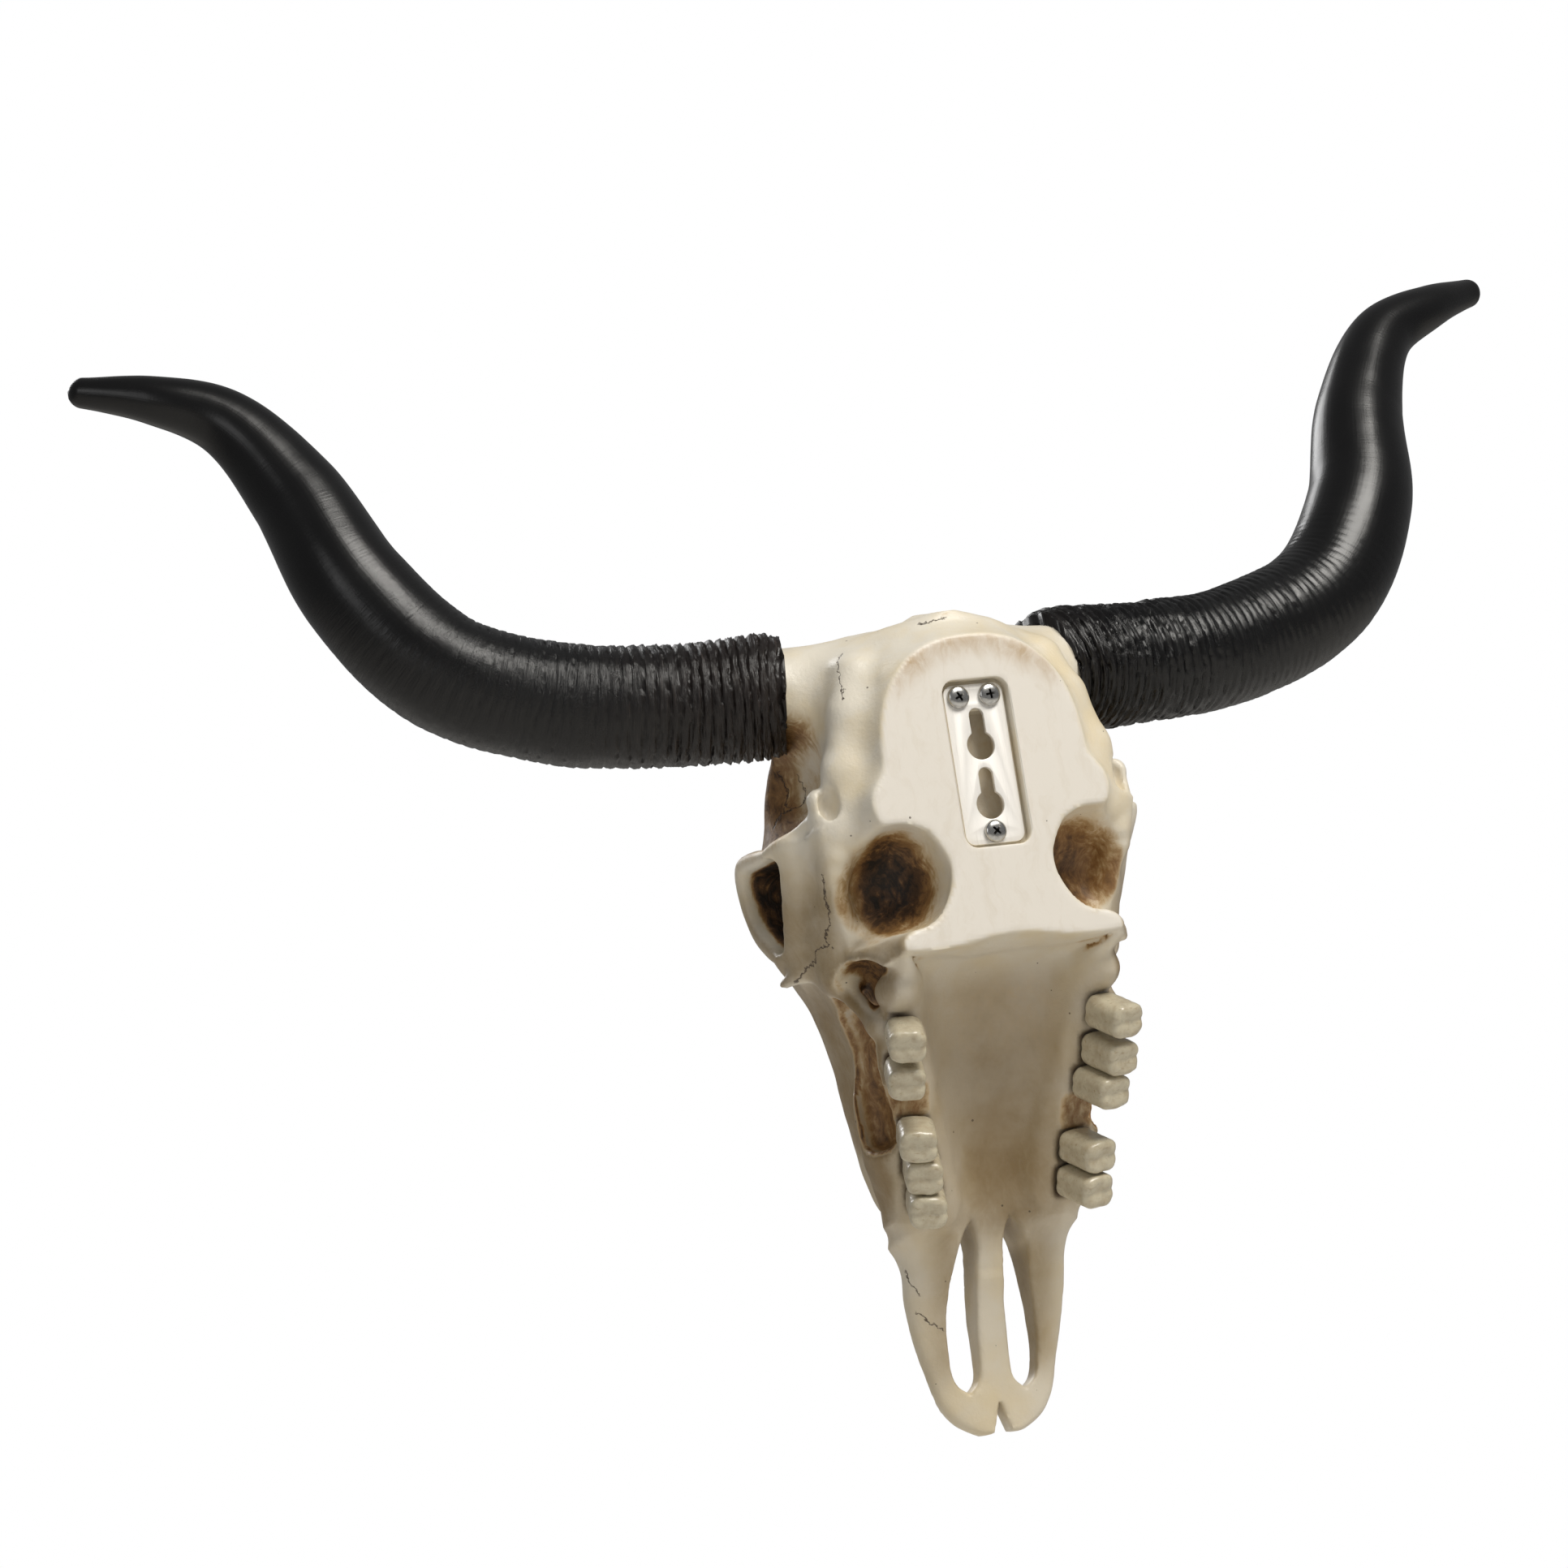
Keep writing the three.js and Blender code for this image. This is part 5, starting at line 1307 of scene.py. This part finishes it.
def paintedEnamel():
    # teeth of the same casting, painted off-white and varnished: grey-white blocks with a wet shine, brown at
    # the gum
    material, tree, shader = newMaterial("varnishedToothResin")
    sized = inMillimetres(tree)
    root = addNode(tree, valueNode, attribute_name="root", out="Fac")
    blotch = addNode(tree, noiseNode, {"Vector": sized, "Scale": 1 / 3.5, "Detail": 5.0, "Roughness": 0.6})
    lines = addNode(tree, vectorNode, [sized, (5.0, 1.4, 1.4)], operation="DIVIDE")
    lines = addNode(tree, noiseNode, {"Vector": lines, "Scale": 1.0, "Detail": 4.0, "Roughness": 0.6})
    soft = addNode(tree, rangeNode, [blotch, 0.45, 0.8, 0.0, 0.55])
    fissure = addNode(tree, rangeNode, [lines, 0.6, 0.72, 0.0, 0.5])
    edge = addNode(tree, mathNode, [blotch, 0.9, 0.55], operation="MULTIPLY_ADD")
    edge = addNode(tree, mathNode, [root, edge], operation="MULTIPLY")
    dark = addNode(tree, rangeNode, [edge, 0.3, 0.9])
    colour = enamel["crown"]
    for cover, tint in ((soft, enamel["stain"]), (fissure, enamel["stain"]), (dark, enamel["root"])):
        colour = addNode(tree, mixNode, {0: cover, 6: colour, 7: tint}, out=2, data_type="RGBA")
    tree.links.new(colour, shader.inputs["Base Color"])
    gloss = addNode(tree, rangeNode, [blotch, 0.3, 0.7, 0.24, 0.4])
    tree.links.new(gloss, shader.inputs["Roughness"])
    shader.inputs["Coat Weight"].default_value = enamel["coat"]
    shader.inputs["Coat Roughness"].default_value = enamel["coatRoughness"]
    relief = addNode(tree, bumpNode, {"Height": lines, "Distance": 0.3 * mm, "Strength": 0.5})
    tree.links.new(relief, shader.inputs["Normal"])
    return material


# patterns in horn space as size round, round and along, detail, roughness
blackResin = {"body": "#070708", "base": "#1B1411", "raised": "#554942", "specular": 0.4,
              "patterns": {"threads": ((9.0, 9.0, 0.75), 5.0, 0.62), "cloud": ((14.0, 14.0, 20.0), 3.0, 0.5),
                           "scratches": ((1.2, 1.2, 26.0), 3.0, 0.6)}}


def hornResin():
    # resin dyed black, cast with its rings and wiped with brown at the base: near black, satin, with a broad
    # soft shine
    material, tree, shader = newMaterial("dyedHornResin")
    place = addNode(tree, valueNode, attribute_name="hornSpace", out="Vector")
    along = addNode(tree, splitNode, [place], out="Z")
    pressed = addNode(tree, valueNode, attribute_name="pressed", out="Fac")
    base = addNode(tree, rangeNode, [along, 95.0, 15.0], interpolation_type="SMOOTHSTEP")
    ringed = addNode(tree, rangeNode, [along, 210.0, 60.0], interpolation_type="SMOOTHSTEP")
    pattern = {}
    for name, (size, detail, roughness) in blackResin["patterns"].items():
        scaled = addNode(tree, vectorNode, [place, size], operation="DIVIDE")
        pattern[name] = addNode(tree, noiseNode, {"Vector": scaled, "Scale": 1.0, "Detail": detail,
                                                  "Roughness": roughness})
    threads, cloud, scratches = pattern.values()
    brown = addNode(tree, mathNode, [cloud, 1.3, 0.2], operation="MULTIPLY_ADD")
    brown = addNode(tree, mathNode, [base, brown], operation="MULTIPLY")
    crest = addNode(tree, rangeNode, [threads, 0.55, 0.72])
    worn = addNode(tree, rangeNode, [pressed, -0.5, 0.5])
    crest = addNode(tree, mathNode, [crest, worn], operation="MULTIPLY")
    faint = addNode(tree, mathNode, [base, 0.85], operation="MULTIPLY")
    crest = addNode(tree, mathNode, [crest, faint], operation="MULTIPLY")
    colour = blackResin["body"]
    for cover, tint in ((brown, blackResin["base"]), (crest, blackResin["raised"])):
        colour = addNode(tree, mixNode, {0: cover, 6: colour, 7: tint}, out=2, data_type="RGBA")
    tree.links.new(colour, shader.inputs["Base Color"])
    gloss = addNode(tree, mathNode, [cloud, 0.14, 0.2], operation="MULTIPLY_ADD")
    gloss = addNode(tree, mathNode, [base, 0.08, gloss], operation="MULTIPLY_ADD")
    tree.links.new(gloss, shader.inputs["Roughness"])
    shader.inputs["Specular IOR Level"].default_value = blackResin["specular"]
    rough = addNode(tree, mathNode, [ringed, 0.7, 0.06], operation="MULTIPLY_ADD")
    relief = addNode(tree, mathNode, [threads, rough], operation="MULTIPLY")
    relief = addNode(tree, mathNode, [scratches, 0.06, relief], operation="MULTIPLY_ADD")
    bump = addNode(tree, bumpNode, {"Height": relief, "Distance": 0.8 * mm, "Strength": 0.8})
    tree.links.new(bump, shader.inputs["Normal"])
    return material


# recess is the painted shade in the screws' cross recess
metal = {"sheet": "#F4F1EC", "sheetWorn": "#D9D5CD", "sheetMetallic": 0.35, "zinc": "#C4C3C0",
         "zincDark": "#7D7C7A", "recess": "#34312D"}


def platedSheet():
    # stamped aluminium sheet, satin: pale, nearly white under soft light, with faint scuffs along its length
    material, tree, shader = newMaterial("satinAluminiumSheet")
    sized = inMillimetres(tree)
    scuffs = addNode(tree, vectorNode, [sized, (0.6, 0.6, 14.0)], operation="DIVIDE")
    scuffs = addNode(tree, noiseNode, {"Vector": scuffs, "Scale": 1.0, "Detail": 4.0, "Roughness": 0.6})
    cloud = addNode(tree, noiseNode, {"Vector": sized, "Scale": 1 / 9, "Detail": 4.0})
    worn = addNode(tree, rangeNode, [scuffs, 0.55, 0.75])
    worn = addNode(tree, mathNode, [worn, cloud], operation="MULTIPLY")
    colour = addNode(tree, mixNode, {0: worn, 6: metal["sheet"], 7: metal["sheetWorn"]}, out=2,
                     data_type="RGBA")
    tree.links.new(colour, shader.inputs["Base Color"])
    shader.inputs["Metallic"].default_value = metal["sheetMetallic"]
    gloss = addNode(tree, mathNode, [scuffs, 0.2, 0.38], operation="MULTIPLY_ADD")
    tree.links.new(gloss, shader.inputs["Roughness"])
    bump = addNode(tree, bumpNode, {"Height": scuffs, "Distance": 0.05 * mm, "Strength": 0.4})
    tree.links.new(bump, shader.inputs["Normal"])
    return material


def zincScrew():
    # steel screw, bright zinc plated: mirror-like grey with a dull film and painted shade in the recess
    material, tree, shader = newMaterial("zincPlatedSteel")
    sized = inMillimetres(tree)
    film = addNode(tree, noiseNode, {"Vector": sized, "Scale": 1 / 1.6, "Detail": 4.0, "Roughness": 0.6})
    worn = addNode(tree, rangeNode, [film, 0.42, 0.75, 0.0, 0.6])
    recessShade = addNode(tree, valueNode, attribute_name="recess", out="Fac")
    colour = metal["zinc"]
    # worn zinc, then painted shade in the recess
    for cover, tint in ((worn, metal["zincDark"]), (recessShade, metal["recess"])):
        colour = addNode(tree, mixNode, {0: cover, 6: colour, 7: tint}, out=2, data_type="RGBA")
    tree.links.new(colour, shader.inputs["Base Color"])
    shader.inputs["Metallic"].default_value = 1.0
    gloss = addNode(tree, mathNode, [film, 0.22, 0.12], operation="MULTIPLY_ADD")
    tree.links.new(gloss, shader.inputs["Roughness"])
    return material


print("growing the horns")
hornFinish = hornResin()
hornWinding = hornTree(hornFinish)
leftHorn = makeHorn("hornLeftShell", 1, hornWinding, 3.0)
rightHorn = makeHorn("hornRightShell", -1, hornWinding, 61.0)

print("fitting the hanger plate and its screws")
platePiece = makePlate()
screwPiece = makeScrews(zincScrew())
skullPiece.data.materials.append(castResin())
teethPiece.data.materials.append(paintedEnamel())
platePiece.data.materials.append(platedSheet())

for piece, nodes, slot in (
        (skullPiece, ["skull"], "skull_resin"), (teethPiece, ["skull"], "skull_resin"),
        (leftHorn, ["horn_left"], "horn_resin"), (rightHorn, ["horn_right"], "horn_resin"),
        (platePiece, ["hanger_plate"], "plate_metal"),
        (screwPiece, ["screw_upper_left", "screw_upper_right", "screw_lower"], "screw_metal")):
    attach(piece, "root")
    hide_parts(*nodes)
    print(piece.name, len(piece.data.polygons), "faces")
